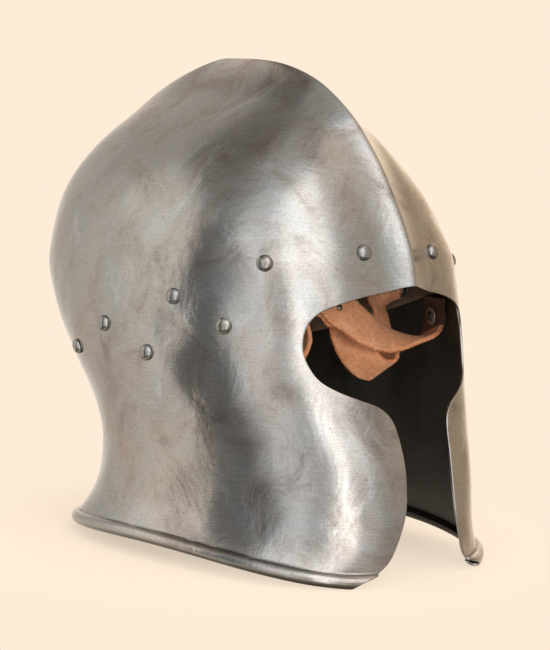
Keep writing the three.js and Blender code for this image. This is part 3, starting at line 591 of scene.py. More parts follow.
def build_skull():
    outer_half, inner_half, heights = skull_grids()
    outer, inner = both_sides(outer_half), both_sides(inner_half)
    rows, cols = outer.shape[:2]
    wall_rows = len(heights)
    round_roll = np.linspace(ROLL_START, ROLL_END, rows - wall_rows)
    shift = -hammered((outer + inner) / 2)[..., None] * unit(outer - inner)
    shift[wall_rows:] *= np.array([1, 1, 0.0]) * ROLL_HAMMERING_SHARE
    outer, inner = outer + shift, inner + shift
    # Above the opening the first and the last column meet on the keel
    apex = int(np.argmin(np.abs(heights - APEX)))
    outer_index = np.arange(rows * cols).reshape(rows, cols)
    for grid in (outer_index, outer, inner):
        grid[:apex + 1, -1] = grid[:apex + 1, 0]
    inner_index = outer_index + rows * cols
    points = [outer.reshape(-1, 3), inner.reshape(-1, 3)]
    faces, skins = [], []

    def face(corners, skin=OUTER_SKIN):
        faces.append(tuple(int(v) for v in corners))
        skins.append(skin)

    for r in range(rows - 1):
        o, i = outer_index[r], inner_index[r]
        p, q = outer_index[r + 1], inner_index[r + 1]
        # The curl under the roll takes the dark wire steel: painted shade
        curled = r >= wall_rows and round_roll[r - wall_rows] < CURL_ANGLE
        for c in range(cols - 1):
            face((o[c], p[c], p[c + 1], o[c + 1]), CURL_SKIN if curled else OUTER_SKIN)
            face((i[c], i[c + 1], q[c + 1], q[c]), INNER_SKIN)
    count = 2 * rows * cols
    crown = np.array([0, CROWN_SET_BACK, HEIGHT - CROWN_DROP])
    points.append(np.array([crown, crown - [0, 0, CROWN_THICKENING * SHEET]]))
    for c in range(cols - 1):
        face((count, outer_index[0, c], outer_index[0, c + 1]))
        face((count + 1, inner_index[0, c + 1], inner_index[0, c]), INNER_SKIN)
    count += 2
    # The sheet's edge round the opening, rounded over
    angles = np.linspace(0, np.pi, EDGE_STEPS + 2)[1:-1]
    apex_arc = None
    for column, neighbour, way in ((0, 1, 1), (cols - 1, cols - 2, -1)):
        before = None
        for r in range(apex, rows):
            a, b = outer[r, column], inner[r, column]
            across = unit(a - b)
            if r == apex:
                down = np.array([0.0, 0.0, -1.0])
                out = unit(down - across * down.dot(across))
            else:
                along = unit(outer[min(r + 1, rows - 1), column] - outer[r - 1, column])
                out = unit(np.cross(along, across))
                if out.dot(a - outer[r, neighbour]) < 0:
                    out = -out
            size = EDGE_BULGE if r < wall_rows else ROLL_BULGE_SHARE * EDGE_BULGE
            if r == apex and apex_arc:
                arc = apex_arc
            else:
                arc = list(range(count, count + EDGE_STEPS))
                points.append(np.array([(a + b) / 2 + (a - b) / 2 * math.cos(w) + out * size * math.sin(w)
                                        for w in angles]))
                count += EDGE_STEPS
            if r == apex:
                apex_arc = arc
            rung = [outer_index[r, column], *arc, inner_index[r, column]]
            if before:
                for k in range(len(rung) - 1):
                    face((before[k], before[k + 1], rung[k + 1], rung[k])[::way])
            before = rung
        face(before[::way])
    # The raw edge of the roll
    for c in range(cols - 1):
        face((outer_index[-1, c], inner_index[-1, c], inner_index[-1, c + 1], outer_index[-1, c + 1]))
    # No face uses the second points on the keel, so they go
    points = np.concatenate(points)
    used = np.unique(np.concatenate([np.array(f) for f in faces]))
    number = np.full(len(points), -1)
    number[used] = np.arange(len(used))
    faces = [tuple(int(number[v]) for v in f) for f in faces]
    # Grime with painted shade and reflection, row by row, on both skins
    grime_and_shade = np.zeros(len(points))
    grime_and_shade[:2 * rows * cols] = np.tile(np.repeat(grime_and_shade_rows(heights, round_roll), cols), 2)
    points = points[used]
    obj = mesh_object("skull_shell", points, faces, STEEL)
    obj.data.materials.append(INSIDE)
    obj.data.materials.append(WIRE_AND_SHADED_CURL_STEEL)
    obj.data.polygons.foreach_set("material_index", np.array(skins, np.int32))
    put_value(obj.data, "grime_and_shade", grime_and_shade[used])
    # Brushing coordinates: round the helmet and up it, in metres
    loops = np.zeros(len(obj.data.loops), np.int32)
    obj.data.loops.foreach_get("vertex_index", loops)
    girth = np.arctan2(points[:, 0], points[:, 1] - BRUSH_CENTRE) * BRUSH_RADIUS * MM
    coords = np.stack([girth[loops], points[loops, 2] * MM], axis=1)
    obj.data.uv_layers.new(name="brush").data.foreach_set("uv", coords.reshape(-1))
    piece(obj, ["skull"])


build_skull()


# Round pieces
HEAD_RADIUS, HEAD_HEIGHT, SHANK_RADIUS = 4.7, 3.0, 2.0
TAIL_RADIUS, TAIL_HEIGHT = 3.2, 1.8
WASHER_RADIUS, WASHER_THICKNESS, WASHER_GAP = 5.6, 1.0, 1.1
LINING_THICKNESS, LINING_GAP, LINING_WASHER_GAP = 2.2, 0.5, 1.1
STRAP_WIDTH, STRAP_THICKNESS, STRAP_GAP, STRAP_WASHER_GAP = 22.0, 2.8, 1.8, 1.1
LINING_RIVETS = [("brow", 15.9, 0.627), ("temple", 46.7, 0.601), ("ear", 76.8, 0.526), ("rear", 109.2, 0.454),
                 ("nape", 128, 0.394)]
STRAP_RIVETS = [("front_strap", 57.9, 0.479), ("rear_strap", 87, 0.411)]
LINING_STACK = SHEET + LINING_GAP + LINING_THICKNESS + LINING_WASHER_GAP
STRAP_STACK = SHEET + STRAP_GAP + STRAP_THICKNESS + STRAP_WASHER_GAP
BARE_STACK = SHEET + WASHER_GAP
# The hammered shapes of heads and tails: arcs in radians, and powers that flatten them
TAIL_ARC, TAIL_POWER, TAIL_EDGE, TAIL_FOOT_SHARE = np.linspace(0.25, 1.45, 6), 1.2, 0.15, 0.96
HEAD_ARC, HEAD_POWER, HEAD_RISE_POWER = np.linspace(0.16, 1.5, 12), 0.8, 1.15
HEAD_STEP, HEAD_STEP_SHARE, HEAD_LIP = 0.25, 0.97, 0.1
WASHER_PLAY, WASHER_BEVEL, WASHER_EDGE, WASHER_BORE_EDGE = 0.1, 0.4, 0.3, 0.15
ROUND_SIDES, HEAD_UNEVEN, WASHER_UNEVEN, WASHER_SEED = 40, 0.012, 0.008, 50
LOBES, LOBE_WAVES, LOBE_SIZES = 3, (2, 6), (0.3, 1)


def lathe(name, profile, seat, normal, material, sides, uneven, seed):
    """A turned piece on a seat, its axis along normal, slightly uneven, as if hammered."""
    side = unit(np.cross(normal, [0.0, 0.0, 1.0]))
    other = np.cross(normal, side)
    local = np.random.default_rng(seed)
    lobes = [(local.integers(*LOBE_WAVES), local.uniform(0, PHASE_END), local.uniform(*LOBE_SIZES))
             for _ in range(LOBES)]
    solid = profile[0][0] == 0
    body = profile[1:-1] if solid else profile
    points = []
    for radius, height in body:
        for k in range(sides):
            w = 2 * np.pi * k / sides
            r = radius * (1 + uneven * sum(s * math.sin(n * w + p + height) for n, p, s in lobes))
            points.append(seat + normal * height + side * (r * math.cos(w)) + other * (r * math.sin(w)))
    faces = grid_faces(len(body), sides, closed_rows=not solid)
    if solid:
        end, last = len(points), (len(body) - 1) * sides
        points += [seat + normal * profile[0][1], seat + normal * profile[-1][1]]
        for k in range(sides):
            d = (k + 1) % sides
            faces += [(end, k, d), (end + 1, last + d, last + k)]
    return mesh_object(name, np.array(points), faces, material)


def wall_place(angle, z):
    turn = float(turn_at(abs(angle), z)) * (1 if angle > 0 else -1)
    return skull_point(turn, z), skull_normal(turn, z)


def rivet_profile(head, height, shank, tail, peen, grip):
    """From the peened tail along the shank to the domed head, with a small step under the head."""
    foot, step = -grip - CLEARANCE, CLEARANCE - HEAD_STEP
    return [
        (0, foot - peen),
        *[(tail * math.sin(w), foot - peen * math.cos(w) ** TAIL_POWER) for w in TAIL_ARC],
        (tail, foot - TAIL_EDGE), (tail * TAIL_FOOT_SHARE, foot), (shank, foot), (shank, step),
        (head * HEAD_STEP_SHARE, step), (head, CLEARANCE + HEAD_LIP),
        *[(head * math.cos(w) ** HEAD_POWER, CLEARANCE + height * math.sin(w) ** HEAD_RISE_POWER)
          for w in HEAD_ARC],
        (0, CLEARANCE + height),
    ]


def washer_profile():
    inner = SHANK_RADIUS + WASHER_PLAY
    lower = [(inner, WASHER_BORE_EDGE), (inner + WASHER_EDGE, 0), (WASHER_RADIUS - WASHER_BEVEL, 0),
             (WASHER_RADIUS, WASHER_EDGE)]
    return lower + [(radius, WASHER_THICKNESS - height) for radius, height in lower[::-1]]


def darken_tail(rivet, seat, normal):
    """The tails, inside the helmet, take a darker steel than the heads."""
    rivet.data.materials.append(TAIL_STEEL)
    place = to_frame(seat)
    for face in rivet.data.polygons:
        if (np.array(face.center) - place).dot(normal) < -SHEET * MM:
            face.material_index = 1


def build_rivets():
    seed = 0
    entries = [(e, LINING_STACK) for e in LINING_RIVETS] + list(zip(STRAP_RIVETS, (STRAP_STACK, BARE_STACK)))
    for side, sign in (("right", -1), ("left", 1)):
        for (name, angle, share), stack in entries:
            point, normal = wall_place(sign * angle, share * HEIGHT)
            seat = point - normal * float(hammered(point[None])[0])
            grip = stack + WASHER_THICKNESS
            profile = rivet_profile(HEAD_RADIUS, HEAD_HEIGHT, SHANK_RADIUS, TAIL_RADIUS, TAIL_HEIGHT, grip)
            head = lathe(f"{name}_dome_{side}", profile, seat, normal, RIVET_STEEL, ROUND_SIDES, HEAD_UNEVEN, seed)
            darken_tail(head, seat, normal)
            piece(head, [f"{name}_rivet_{side}"])
            metal = WASHER_STEEL if name == "front_strap" else TAIL_STEEL
            ring = lathe(f"{name}_ring_{side}", washer_profile(), seat - normal * grip, normal, metal, ROUND_SIDES,
                         WASHER_UNEVEN, seed + WASHER_SEED)
            piece(ring, [f"{name}_washer_{side}"])
            seed += 1


build_rivets()


# Swept pieces
WIRE_SETBACK, WIRE_SIDES = 3.5, 16
LINING_MIDDLE_SHARE, LINING_TILT_SHARE = 0.505, 0.12
LINING_BELOW, LINING_ABOVE = 11.0, 17.0
LINING_COLUMNS, LINING_STEPS, LINING_TRIES = 400, 12, 5
LINING_BULGE, LINING_EDGE = 0.35, 0.5
LINING_WAVE, LINING_WAVE_TURNS, LINING_WAVE_LEAN = 0.12, 31, 0.2


def swept(name, rings, material, closed=False):
    rings = np.asarray(rings)
    rows, cols = rings.shape[:2]
    faces = grid_faces(rows, cols, closed_rows=closed)
    if not closed:
        faces += end_faces(rows, cols)
    return mesh_object(name, rings.reshape(-1, 3), faces, material)


def build_wire():
    edge = edge_angle(ROLL_RADIUS) + ROLL_TRIM + math.degrees(WIRE_SETBACK / CHEEK_REACH)
    lifts, foot, away = roll_seat(column_turns(float(turn_at(edge, ROLL_HEIGHT)), 2))
    centre = foot + away * ROLL_OFFSET
    centre[:, 2] = lifts + ROLL_RADIUS
    angles = 2 * np.pi * np.arange(WIRE_SIDES) / WIRE_SIDES
    upright = np.outer(np.sin(angles), [0, 0, 1])
    rings = np.array([c + (np.outer(np.cos(angles), a) + upright) * WIRE_RADIUS for c, a in zip(centre, away)])
    other = rings[::-1] * np.array([-1, 1, 1])
    wire = swept("rim_core", np.concatenate([rings, other[1:]]), WIRE_AND_SHADED_CURL_STEEL)
    piece(wire, ["rim_wire"])


build_wire()


def build_lining():
    """The band that the liner is sewn to: a strip of leather with soft waves and rounded edges."""
    turns = np.linspace(-2, 2, LINING_COLUMNS + 1)[:-1]
    row = np.full(len(turns), LINING_MIDDLE_SHARE * HEIGHT)
    for _ in range(LINING_TRIES):
        p = skull_point(turns, row)
        row = HEIGHT * (LINING_MIDDLE_SHARE + LINING_TILT_SHARE * -p[:, 1] / np.hypot(p[:, 0], p[:, 1]))
    near, far = SHEET + LINING_GAP, SHEET + LINING_GAP + LINING_THICKNESS
    heights = [-LINING_BELOW + (LINING_ABOVE + LINING_BELOW) * k / LINING_STEPS for k in range(LINING_STEPS + 1)]
    top, foot = LINING_ABOVE + LINING_BULGE, -LINING_BELOW - LINING_BULGE
    profile = [(height, near) for height in heights] + [(top, near + LINING_EDGE), (top, far - LINING_EDGE)]
    profile += [(height, far) for height in heights[::-1]]
    profile += [(foot, far - LINING_EDGE), (foot, near + LINING_EDGE)]
    rings = []
    for height, depth in profile:
        z = row + height
        wave = LINING_WAVE * np.sin(turns * LINING_WAVE_TURNS + height * LINING_WAVE_LEAN)
        wave = wave * (depth > (near + far) / 2)
        rings.append(skull_point(turns, z) - skull_normal(turns, z) * (depth + wave)[:, None])
    band = swept("lining_strip", np.array(rings).transpose(1, 0, 2), LINING, closed=True)
    piece(band, ["lining_band"])


build_lining()


# Chin strap: the same stations as the solids
ROOT_LENGTH, ROOT_FOOT, ROOT_LEAN = 11.3, 7.0, 1.4
LEFT_ROUTE = [
    (0.839, -0.513, 0.443, -0.35, -0.9, 0.26), (0.801, -0.505, 0.434, -0.4, -0.9, 0.18),
    (0.754, -0.49, 0.431, -0.39, -0.92, 0.09), (0.687, -0.474, 0.432, -0.33, -0.94, -0.09),
    (0.608, -0.461, 0.432, -0.29, -0.88, -0.37), (0.504, -0.449, 0.435, -0.25, -0.69, -0.68),
    (0.382, -0.459, 0.446, -0.35, -0.49, -0.8), (0.262, -0.456, 0.464, -0.55, -0.26, -0.79),
    (0.159, -0.459, 0.484, -0.75, -0.18, -0.64),
]
RIGHT_ROUTE = [
    (-0.8, -0.46, 0.37, -0.45, 0.89, 0), (-0.55, -0.36, 0.335, -0.3, 0.95, 0), (-0.25, -0.31, 0.365, 0, 1, 0),
    (-0.05, -0.293, 0.425, 0.3, 0.95, -0.1), (0, -0.26, 0.495, 0.7, 0.7, -0.1),
    (0.09, -0.27, 0.53, 0.9, 0.35, 0.25), (0.21, -0.345, 0.493, 0.88, 0.2, 0.44),
    (0.255, -0.335, 0.458, 0.91, -0.01, 0.41), (0.315, -0.349, 0.428, 0.77, -0.4, 0.49),
    (0.377, -0.351, 0.402, 0.45, -0.66, 0.6), (0.441, -0.354, 0.378, 0.09, -0.79, 0.6),
    (0.522, -0.356, 0.363, 0.04, -0.82, 0.57), (0.601, -0.352, 0.362, 0.13, -0.79, 0.6),
    (0.655, -0.319, 0.378, 0.25, -0.77, 0.58), (0.682, -0.27, 0.404, 0.74, -0.42, 0.53),
    (0.696, -0.245, 0.44, 0.98, 0.19, 0.11), (0.695, -0.235, 0.466, 0.95, 0.32, -0.03),
    (0.692, -0.232, 0.483, 0.87, 0.48, -0.09), (0.692, -0.237, 0.504, 1, 0.02, 0.01),
    (0.697, -0.247, 0.525, 0.71, -0.71, 0.02), (0.696, -0.252, 0.548, 0.71, -0.71, 0.02),
]
BUCKLE, BUCKLE_HEADING, BUCKLE_ACROSS = (-0.048, -0.437, 0.525), (-0.81, -0.1, 0.57), (-0.56, -0.14, -0.82)
REACHES = np.array([HALF_WIDTH, BROW_REACH, HEIGHT])
BAR_RADIUS, BAR_GAP, FRAME_LENGTH, FRAME_SIDE_GAP = 1.5, 0.4, 18.0, 1.5
PRONG_RADIUS = 1.2
FOLD_LENGTH, FOLD_GAP, FOLD_RIVET_PLACE = 17.0, 0.9, 12.0
BEND_RADIUS = BAR_RADIUS + BAR_GAP + STRAP_THICKNESS / 2


def stations(route):
    """Each station's middle, from its shares of the skull, and its way across."""
    return [(np.array(s[:3]) * REACHES, unit(np.array(s[3:], float))) for s in route]


def strap_root(sign):
    _, angle, share = STRAP_RIVETS[0]
    depth = SHEET + STRAP_GAP + STRAP_THICKNESS / 2
    out = []
    for rise, lean in ((ROOT_LENGTH, 0), (0, 0), (-ROOT_FOOT, ROOT_LEAN)):
        point, normal = wall_place(sign * angle, share * HEIGHT + rise)
        out.append((point - normal * (depth + lean), unit(np.cross(normal, [0, 0, 1]))))
    return out


def buckle_directions():
    centre = np.array(BUCKLE) * REACHES
    along, across = unit(np.array(BUCKLE_HEADING)), unit(np.array(BUCKLE_ACROSS))
    across = unit(across - along * across.dot(along))
    face = unit(np.cross(along, across))
    return centre, along, across, face if face[1] < 0 else -face


B_CENTRE, B_ALONG, B_ACROSS, B_FACE = buckle_directions()


def at_buckle(onward, aside, out):
    return B_CENTRE + B_ALONG * onward + B_ACROSS * aside + B_FACE * out


def buckle_fold():
    out = [at_buckle(-FOLD_RIVET_PLACE, 0, BEND_RADIUS)]
    for angle in (90, 45, 0, -45, -90):
        w = math.radians(angle)
        out.append(at_buckle(BEND_RADIUS * math.cos(w), 0, BEND_RADIUS * math.sin(w)))
    under = BEND_RADIUS - STRAP_THICKNESS - FOLD_GAP
    out += [at_buckle(-FOLD_LENGTH / 3, 0, under), at_buckle(-FOLD_LENGTH, 0, under)]
    return [(c, B_ACROSS) for c in out]


# The suede's own shape: samples to each span and across, and the levels down a cut edge
SPAN_SAMPLES, ACROSS_SAMPLES, EDGE_LEVELS = 14, 17, (0.45, 0.0, -0.45)
EDGE_INSET, EDGE_THINNING, EDGE_THINNING_POWER = 0.25, 0.1, 8
RAGGED_WAVES, RAGGED_RATES, RAGGED_SIZES = 6, (0.05, 0.5), (0.3, 1)
RAGGED_SIZE, RAGGED_RATE, RAGGED_GRAIN, RAGGED_POWER, OTHER_EDGE_PHASE = 0.17, 6, 0.26, 6, 2.1
NAP_WAVES = [(0.05, 1.9, 7, 1), (0.04, 0.7, -11, 0)]
# How the dark root fades in and which faces take it: the grain side with painted shade
SMOOTH_AND_SHADE_FADE, SMOOTH_AND_SHADE_LEVEL = 1.5, -0.5
# Its fringe: how many fibres are tried, where they stand and how far they reach
FRINGE, FRINGE_START, FRINGE_INSET, FRINGE_LEVEL = 3600, 1, 0.1, 0.9
FRINGE_REACH, FRINGE_SWAY, FRINGE_LIFT, FRINGE_WIDTH = (0.4, 1.35), 0.7, 0.5, (0.07, 0.17)


def strap(name, route, seed, smooth_and_shade_until, fringe_until):
    """A suede strip: soft waves, a napped face, ragged cut edges with a fringe, and a smooth root darkened by
    painted shade.
    """
    centres, along = centripetal([c for c, _ in route], SPAN_SAMPLES)
    ways, _ = centripetal([a for _, a in route], SPAN_SAMPLES)
    across = unit(ways - along * np.sum(ways * along, axis=1, keepdims=True))
    face = unit(np.cross(along, across))
    length = np.concatenate([[0], np.cumsum(np.linalg.norm(np.diff(centres, axis=0), axis=1))])
    local = np.random.default_rng(seed)
    half, thick = STRAP_WIDTH / 2, STRAP_THICKNESS / 2
    # Share across, level between the two faces, and 1 on a cut edge
    shares = np.linspace(-1, 1, ACROSS_SAMPLES)
    profile = [(s, 1.0, 0) for s in shares] + [(1.0, level, 1) for level in EDGE_LEVELS]
    profile += [(s, -1.0, 0) for s in shares[::-1]] + [(-1.0, level, 1) for level in EDGE_LEVELS[::-1]]
    waves = [(local.uniform(*RAGGED_RATES), local.uniform(0, PHASE_END), local.uniform(*RAGGED_SIZES))
             for _ in range(RAGGED_WAVES)]
    rings, cut, smooth = [], [], []
    for k, run in enumerate(length):
        ragged = [RAGGED_SIZE * sum(s * math.sin(run * f * RAGGED_RATE + p + phase) for f, p, s in waves)
                  + local.uniform(-RAGGED_GRAIN, RAGGED_GRAIN) for phase in (0.0, OTHER_EDGE_PHASE)]
        # The root's dark grain side, with painted shade
        dark = float(np.clip((smooth_and_shade_until - run) / SMOOTH_AND_SHADE_FADE, 0, 1))
        ring = []
        for s, level, edge in profile:
            w = s * (half if edge else half - EDGE_INSET) + ragged[0 if s > 0 else 1] * abs(s) ** RAGGED_POWER
            nap = sum(size * math.sin(run * rate + s * lean + seed * own) for size, rate, lean, own in NAP_WAVES)
            thin = 1 - EDGE_THINNING * abs(s) ** EDGE_THINNING_POWER
            f = level * (thick * thin if edge else thick * thin + nap)
            ring.append(centres[k] + across[k] * w + face[k] * f)
            cut.append(edge * (1 - dark))
            smooth.append(dark * (level > SMOOTH_AND_SHADE_LEVEL))
        rings.append(ring)
    rings = np.array(rings)
    rows, cols = rings.shape[:2]
    points = rings.reshape(-1, 3).tolist()
    faces = grid_faces(rows, cols) + end_faces(rows, cols)
    for _ in range(FRINGE):
        k = int(local.integers(2, len(centres) - 1))
        if not smooth_and_shade_until - FRINGE_START < length[k] < fringe_until:
            continue
        side = 1 if local.uniform() < 0.5 else -1
        level = local.uniform(-thick, thick) * FRINGE_LEVEL
        root = centres[k] + across[k] * side * (half - FRINGE_INSET) + face[k] * level
        tip = root + across[k] * side * local.uniform(*FRINGE_REACH)
        tip = tip + along[k] * local.uniform(-FRINGE_SWAY, FRINGE_SWAY)
        tip = tip + face[k] * local.uniform(-FRINGE_LIFT, FRINGE_LIFT)
        width = along[k] * local.uniform(*FRINGE_WIDTH)
        faces.append(tuple(range(len(points), len(points) + 3)))
        points += [(root - width).tolist(), (root + width).tolist(), tip.tolist()]
        cut += [1.0] * 3
        smooth += [0.0] * 3
    obj = mesh_object(name, points, faces, SUEDE)
    put_value(obj.data, "cut", cut)
    put_value(obj.data, "smooth_side_and_shade", smooth)
    return obj


left_route = strap_root(1) + stations(LEFT_ROUTE) + buckle_fold()
left_strap = strap("suede_strap_left", left_route, seed=3, smooth_and_shade_until=20.8, fringe_until=98.0)
piece(left_strap, ["chin_strap_left"])
right_route = strap_root(-1) + stations(RIGHT_ROUTE)
right_strap = strap("suede_strap_right", right_route, seed=5, smooth_and_shade_until=0.0, fringe_until=math.inf)
piece(right_strap, ["chin_strap_right"])


# Buckle
ROD_SIDES, CORNER_SAMPLES, EYE_SAMPLES, PRONG_SAMPLES = 16, 9, 26, 14
EYE_START, EYE_END, EYE_ROD_SHARE = -200, 90, 0.5
PRONG_START, PRONG_TAPER, PRONG_TIP_SHARE = 1.5, 0.25, 0.75
STUD_SLACK, STUD_HEAD, STUD_SHANK, STUD_SIDES, STUD_UNEVEN, STUD_SEED = 0.7, 2.0, 1.2, 32, 0.01, 77


def tube_rings(points, radii, closed):
    points = np.asarray(points)
    w = 2 * np.pi * (np.arange(ROD_SIDES) + 0.5) / ROD_SIDES
    rings = []
    for i, (p, r) in enumerate(zip(points, np.broadcast_to(radii, len(points)))):
        before = points[i - 1] if closed or i else points[0]
        after = points[(i + 1) % len(points)] if closed or i < len(points) - 1 else points[-1]
        along = unit(after - before)
        out = unit(B_FACE - along * B_FACE.dot(along))
        rings.append(p + np.outer(np.cos(w), out) * r + np.outer(np.sin(w), np.cross(along, out)) * r)
    return np.array(rings)


def build_frame():
    reach = STRAP_WIDTH / 2 + FRAME_SIDE_GAP + BAR_RADIUS
    corner = 2 * BAR_RADIUS
    near, far, aside = corner, FRAME_LENGTH - corner, reach - corner
    path = []
    for onward, across, start in ((near, aside, 90), (near, -aside, 180), (far, -aside, 270), (far, aside, 0)):
        for w in np.radians(np.linspace(start, start + 90, CORNER_SAMPLES)):
            path.append(at_buckle(onward + corner * math.cos(w), across + corner * math.sin(w), 0))
    loop = swept("buckle_loop", tube_rings(path, BAR_RADIUS, True), RIVET_STEEL, closed=True)
    piece(loop, ["buckle_frame"], "frame")


def build_prong():
    rod_radius = PRONG_RADIUS * EYE_ROD_SHARE
    eye_radius = BAR_RADIUS + CLEARANCE + rod_radius
    path = [at_buckle(eye_radius * math.cos(w), 0, eye_radius * math.sin(w))
            for w in np.radians(np.linspace(EYE_START, EYE_END, EYE_SAMPLES))[::-1]]
    eye = swept("prong_eye_rod", tube_rings(path, rod_radius, False), RIVET_STEEL)
    seat = BAR_RADIUS + CLEARANCE + PRONG_RADIUS
    line = [at_buckle(o, 0, seat) for o in np.linspace(PRONG_START, FRAME_LENGTH + 2 * BAR_RADIUS, PRONG_SAMPLES)]
    radii = PRONG_RADIUS * (1 - PRONG_TAPER * np.linspace(0, 1, PRONG_SAMPLES))
    radii[-1] *= PRONG_TIP_SHARE
    rod = swept("prong_rod", tube_rings(line, radii, False), RIVET_STEEL)
    for part in (eye, rod):
        piece(part, ["buckle_prong"], "prong")


def build_stud():
    """The small rivet that closes the fold round the bar."""
    grip = 2 * (STRAP_THICKNESS + STUD_SLACK) + CLEARANCE
    profile = rivet_profile(STUD_HEAD, STUD_HEAD / 2, STUD_SHANK, STUD_HEAD, STUD_HEAD / 2, grip)
    seat = at_buckle(-FOLD_RIVET_PLACE, 0, BEND_RADIUS + STRAP_THICKNESS / 2 + STUD_SLACK)
    stud = lathe("fold_stud", profile, seat, B_FACE, RIVET_STEEL, STUD_SIDES, STUD_UNEVEN, STUD_SEED)
    piece(stud, ["fold_rivet"])


build_frame()
build_prong()
build_stud()


# Floor, light and camera
CREAM = (0.982, 0.838, 0.679)
FLOOR_GLOW, FLOOR_TONE, FLOOR_ROUGH = 0.62, 0.5, 0.9
FLOOR_RADIUS, FLOOR_SIDES, FLOOR_DROP = 1.8, 64, 0.0002
FADE_START, FADE_END = 0.08, 0.21


def floor():
    material, graph, shader = new_material("pale_floor")
    graph.fill(shader, {"Base Color": (*[FLOOR_TONE * c for c in CREAM], 1), "Roughness": FLOOR_ROUGH,
                        "Specular IOR Level": 0.0, "Emission Color": (*CREAM, 1), "Emission Strength": FLOOR_GLOW})
    place = graph.add("TexCoord").outputs["Object"]
    distance = graph.add("VectorMath", {0: place}, operation="LENGTH").outputs["Value"]
    fade = graph.between(distance, FADE_START, FADE_END)
    graph.blend_surfaces(fade, shader, graph.add("BsdfTransparent"), "Material Output")
    mesh = bpy.data.meshes.new("floor")
    ring = [(FLOOR_RADIUS * math.cos(w), FLOOR_RADIUS * math.sin(w), -FLOOR_DROP)
            for w in np.linspace(0, 2 * math.pi, FLOOR_SIDES + 1)[:-1]]
    mesh.from_pydata(ring, [], [tuple(range(FLOOR_SIDES))])
    mesh.materials.append(material)
    new_object("floor", mesh)


# The studio: soft panels and dark gaps round the helmet, as degrees round from the face, brightness and warmth.
# The rings stand one above another, from the level of the helmet to nearly overhead.
LEVEL_RING = [
    (-180, 0.6, 0.115), (-150, 0.7, 0.105), (-136, 0.85, 0.095), (-127, 0.85, 0.075), (-121, 0.22, 0.0),
    (-100, 0.2, 0.0), (-91, 0.5, 0.0), (-80, 0.95, 0.0), (-70, 1.0, 0.0), (-58, 0.7, 0.0), (-49, 0.85, 0.0),
    (-42, 1.5, 0.0), (-37, 2.5, 0.0), (-31, 2.9, 0.0), (-25, 1.4, 0.0), (-18, 0.6, 0.0), (-2, 0.62, 0.02),
    (10, 0.4, 0.06), (24, 0.4, 0.1), (60, 0.46, 0.29), (90, 0.36, 0.31), (106, 0.6, 0.27), (120, 1.1, 0.23),
    (150, 0.8, 0.1),
]
MIDDLE_RING = [
    (-180, 0.55, 0.105), (-150, 0.75, 0.095), (-138, 0.98, 0.085), (-124, 1.1, 0.065), (-118, 0.45, 0.0),
    (-112, 0.2, 0.0), (-98, 0.3, 0.0), (-88, 0.6, 0.0), (-78, 1.0, 0.0), (-68, 1.25, 0.0), (-60, 0.9, 0.0),
    (-50, 0.8, 0.0), (-42, 1.3, 0.0), (-34, 1.7, 0.0), (-20, 1.7, 0.0), (-8, 1.5, 0.0), (0, 1.1, 0.01),
    (8, 0.6, 0.06), (60, 0.5, 0.27), (90, 0.42, 0.29), (108, 0.7, 0.27), (122, 1.15, 0.23), (155, 0.6, 0.1),
]
UPPER_RING = [
    (-180, 0.46, 0.095), (-155, 0.96, 0.085), (-138, 1.0, 0.075), (-126, 0.75, 0.035), (-119, 0.26, -0.02),
    (-106, 0.26, -0.03), (-96, 0.45, -0.03), (-87, 1.2, -0.02), (-68, 1.5, -0.01), (-54, 1.5, 0.0),
    (-42, 2.0, 0.0), (-20, 2.2, 0.0), (-3, 2.1, 0.0), (6, 1.1, 0.01), (14, 0.62, 0.05), (36, 0.5, 0.12),
    (90, 0.46, 0.25), (125, 0.9, 0.23), (155, 0.5, 0.1),
]
OVERHEAD_RING = [
    (-180, 0.2, 0.115), (-150, 0.24, 0.105), (-125, 0.34, 0.065), (-108, 0.52, 0.0), (-95, 0.8, 0.0),
    (-72, 0.9, 0.0), (-50, 1.4, 0.0), (-34, 1.9, 0.0), (-9, 2.1, 0.0), (0, 1.7, 0.0), (10, 1.0, 0.03),
    (30, 0.8, 0.08), (60, 0.85, 0.13), (100, 0.5, 0.17), (140, 0.32, 0.1),
]
ZENITH = (0.54, 0.52, 0.5)
UNDERNEATH = (0.11, 0.1, 0.09)
# Where each gives way to the next, as the height of a direction's end on a unit sphere
MIDDLE_START, UPPER_START, OVERHEAD_START, ZENITH_START = (-0.02, 0.18), (0.34, 0.5), (0.65, 0.79), (0.93, 0.99)
UNDERNEATH_START = (-0.45, -0.7)


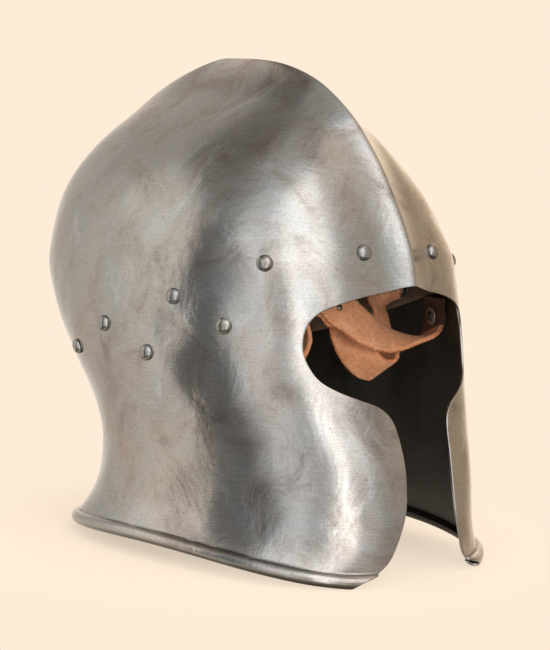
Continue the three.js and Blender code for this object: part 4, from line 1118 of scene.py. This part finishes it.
def world():
    """A pale studio: cream to the camera, and the rings of panels for the light and the reflections."""
    scene = bpy.context.scene
    scene.world = bpy.data.worlds.new("studio")
    graph = Graph(scene.world)
    way = graph.add("SeparateXYZ", {0: graph.add("TexCoord").outputs["Generated"]}).outputs
    ahead = graph.add("Math", {0: way["Y"], 1: -1.0}, operation="MULTIPLY").outputs[0]
    turn = graph.add("Math", {0: way["X"], 1: ahead}, operation="ARCTAN2").outputs[0]
    share = graph.between(turn, -math.pi, math.pi)

    def ring(panels):
        stops = [((angle + 180) / 360, (b * (1 + warm), b, b * (1 - warm))) for angle, b, warm in panels]
        return graph.ramp(share, *stops, (1.0, stops[0][1]))

    colour = ring(LEVEL_RING)
    for start, above in ((MIDDLE_START, ring(MIDDLE_RING)), (UPPER_START, ring(UPPER_RING)),
                         (OVERHEAD_START, ring(OVERHEAD_RING)), (ZENITH_START, ZENITH),
                         (UNDERNEATH_START, UNDERNEATH)):
        colour = graph.mix(graph.between(way["Z"], *start), colour, above)
    lit = graph.fill(graph.nodes["Background"], {"Color": colour})
    seen = graph.add("Background", {"Color": (*CREAM, 1), "Strength": 1.0})
    path = graph.add("LightPath").outputs["Is Camera Ray"]
    graph.blend_surfaces(path, lit, seen, "World Output")


KEY_PLACE, KEY_TARGET = (-0.75, -1.7, 0.5), (0, -0.05, 0.14)
KEY_SIZE, KEY_POWER, KEY_TONE = 0.5, 12, (1, 0.97, 0.93)


def key_light():
    light = bpy.data.lights.new("key", "AREA")
    light.shape = "RECTANGLE"
    light.size = light.size_y = KEY_SIZE
    light.energy = KEY_POWER
    light.color = KEY_TONE
    obj = new_object("key", light)
    obj.location = KEY_PLACE
    obj.rotation_mode = "QUATERNION"
    obj.rotation_quaternion = (Vector(KEY_TARGET) - Vector(KEY_PLACE)).to_track_quat("-Z", "Y")
    obj.visible_glossy = False


# The photograph's camera, found from the outline, the ridge, the rivets and the rim: its place in the sections'
# millimetres, its right and up, and its focal length and the picture's longer side in pixels
CAMERA_PLACE = np.array([-817.50, -823.99, 241.19])
CAMERA_RIGHT, CAMERA_UP = np.array([0.70997, -0.70284, 0.04430]), np.array([0.03545, 0.09848, 0.99451])
FOCAL_PIXELS, PICTURE_PIXELS, SENSOR_WIDTH = 1933.53, 650, 36


def camera():
    data = bpy.data.cameras.new("camera")
    data.sensor_width = SENSOR_WIDTH
    data.lens = FOCAL_PIXELS * SENSOR_WIDTH / PICTURE_PIXELS
    data.clip_start, data.clip_end = 0.01, 50
    obj = new_object("camera", data)
    axes = np.stack([CAMERA_RIGHT, CAMERA_UP, np.cross(CAMERA_RIGHT, CAMERA_UP)], axis=1)
    obj.matrix_world = Matrix.Translation(Vector(to_frame(CAMERA_PLACE))) @ Matrix(axes.tolist()).to_4x4()
    bpy.context.scene.camera = obj


bpy.context.scene.view_settings.view_transform = "Standard"
floor()
world()
key_light()
camera()
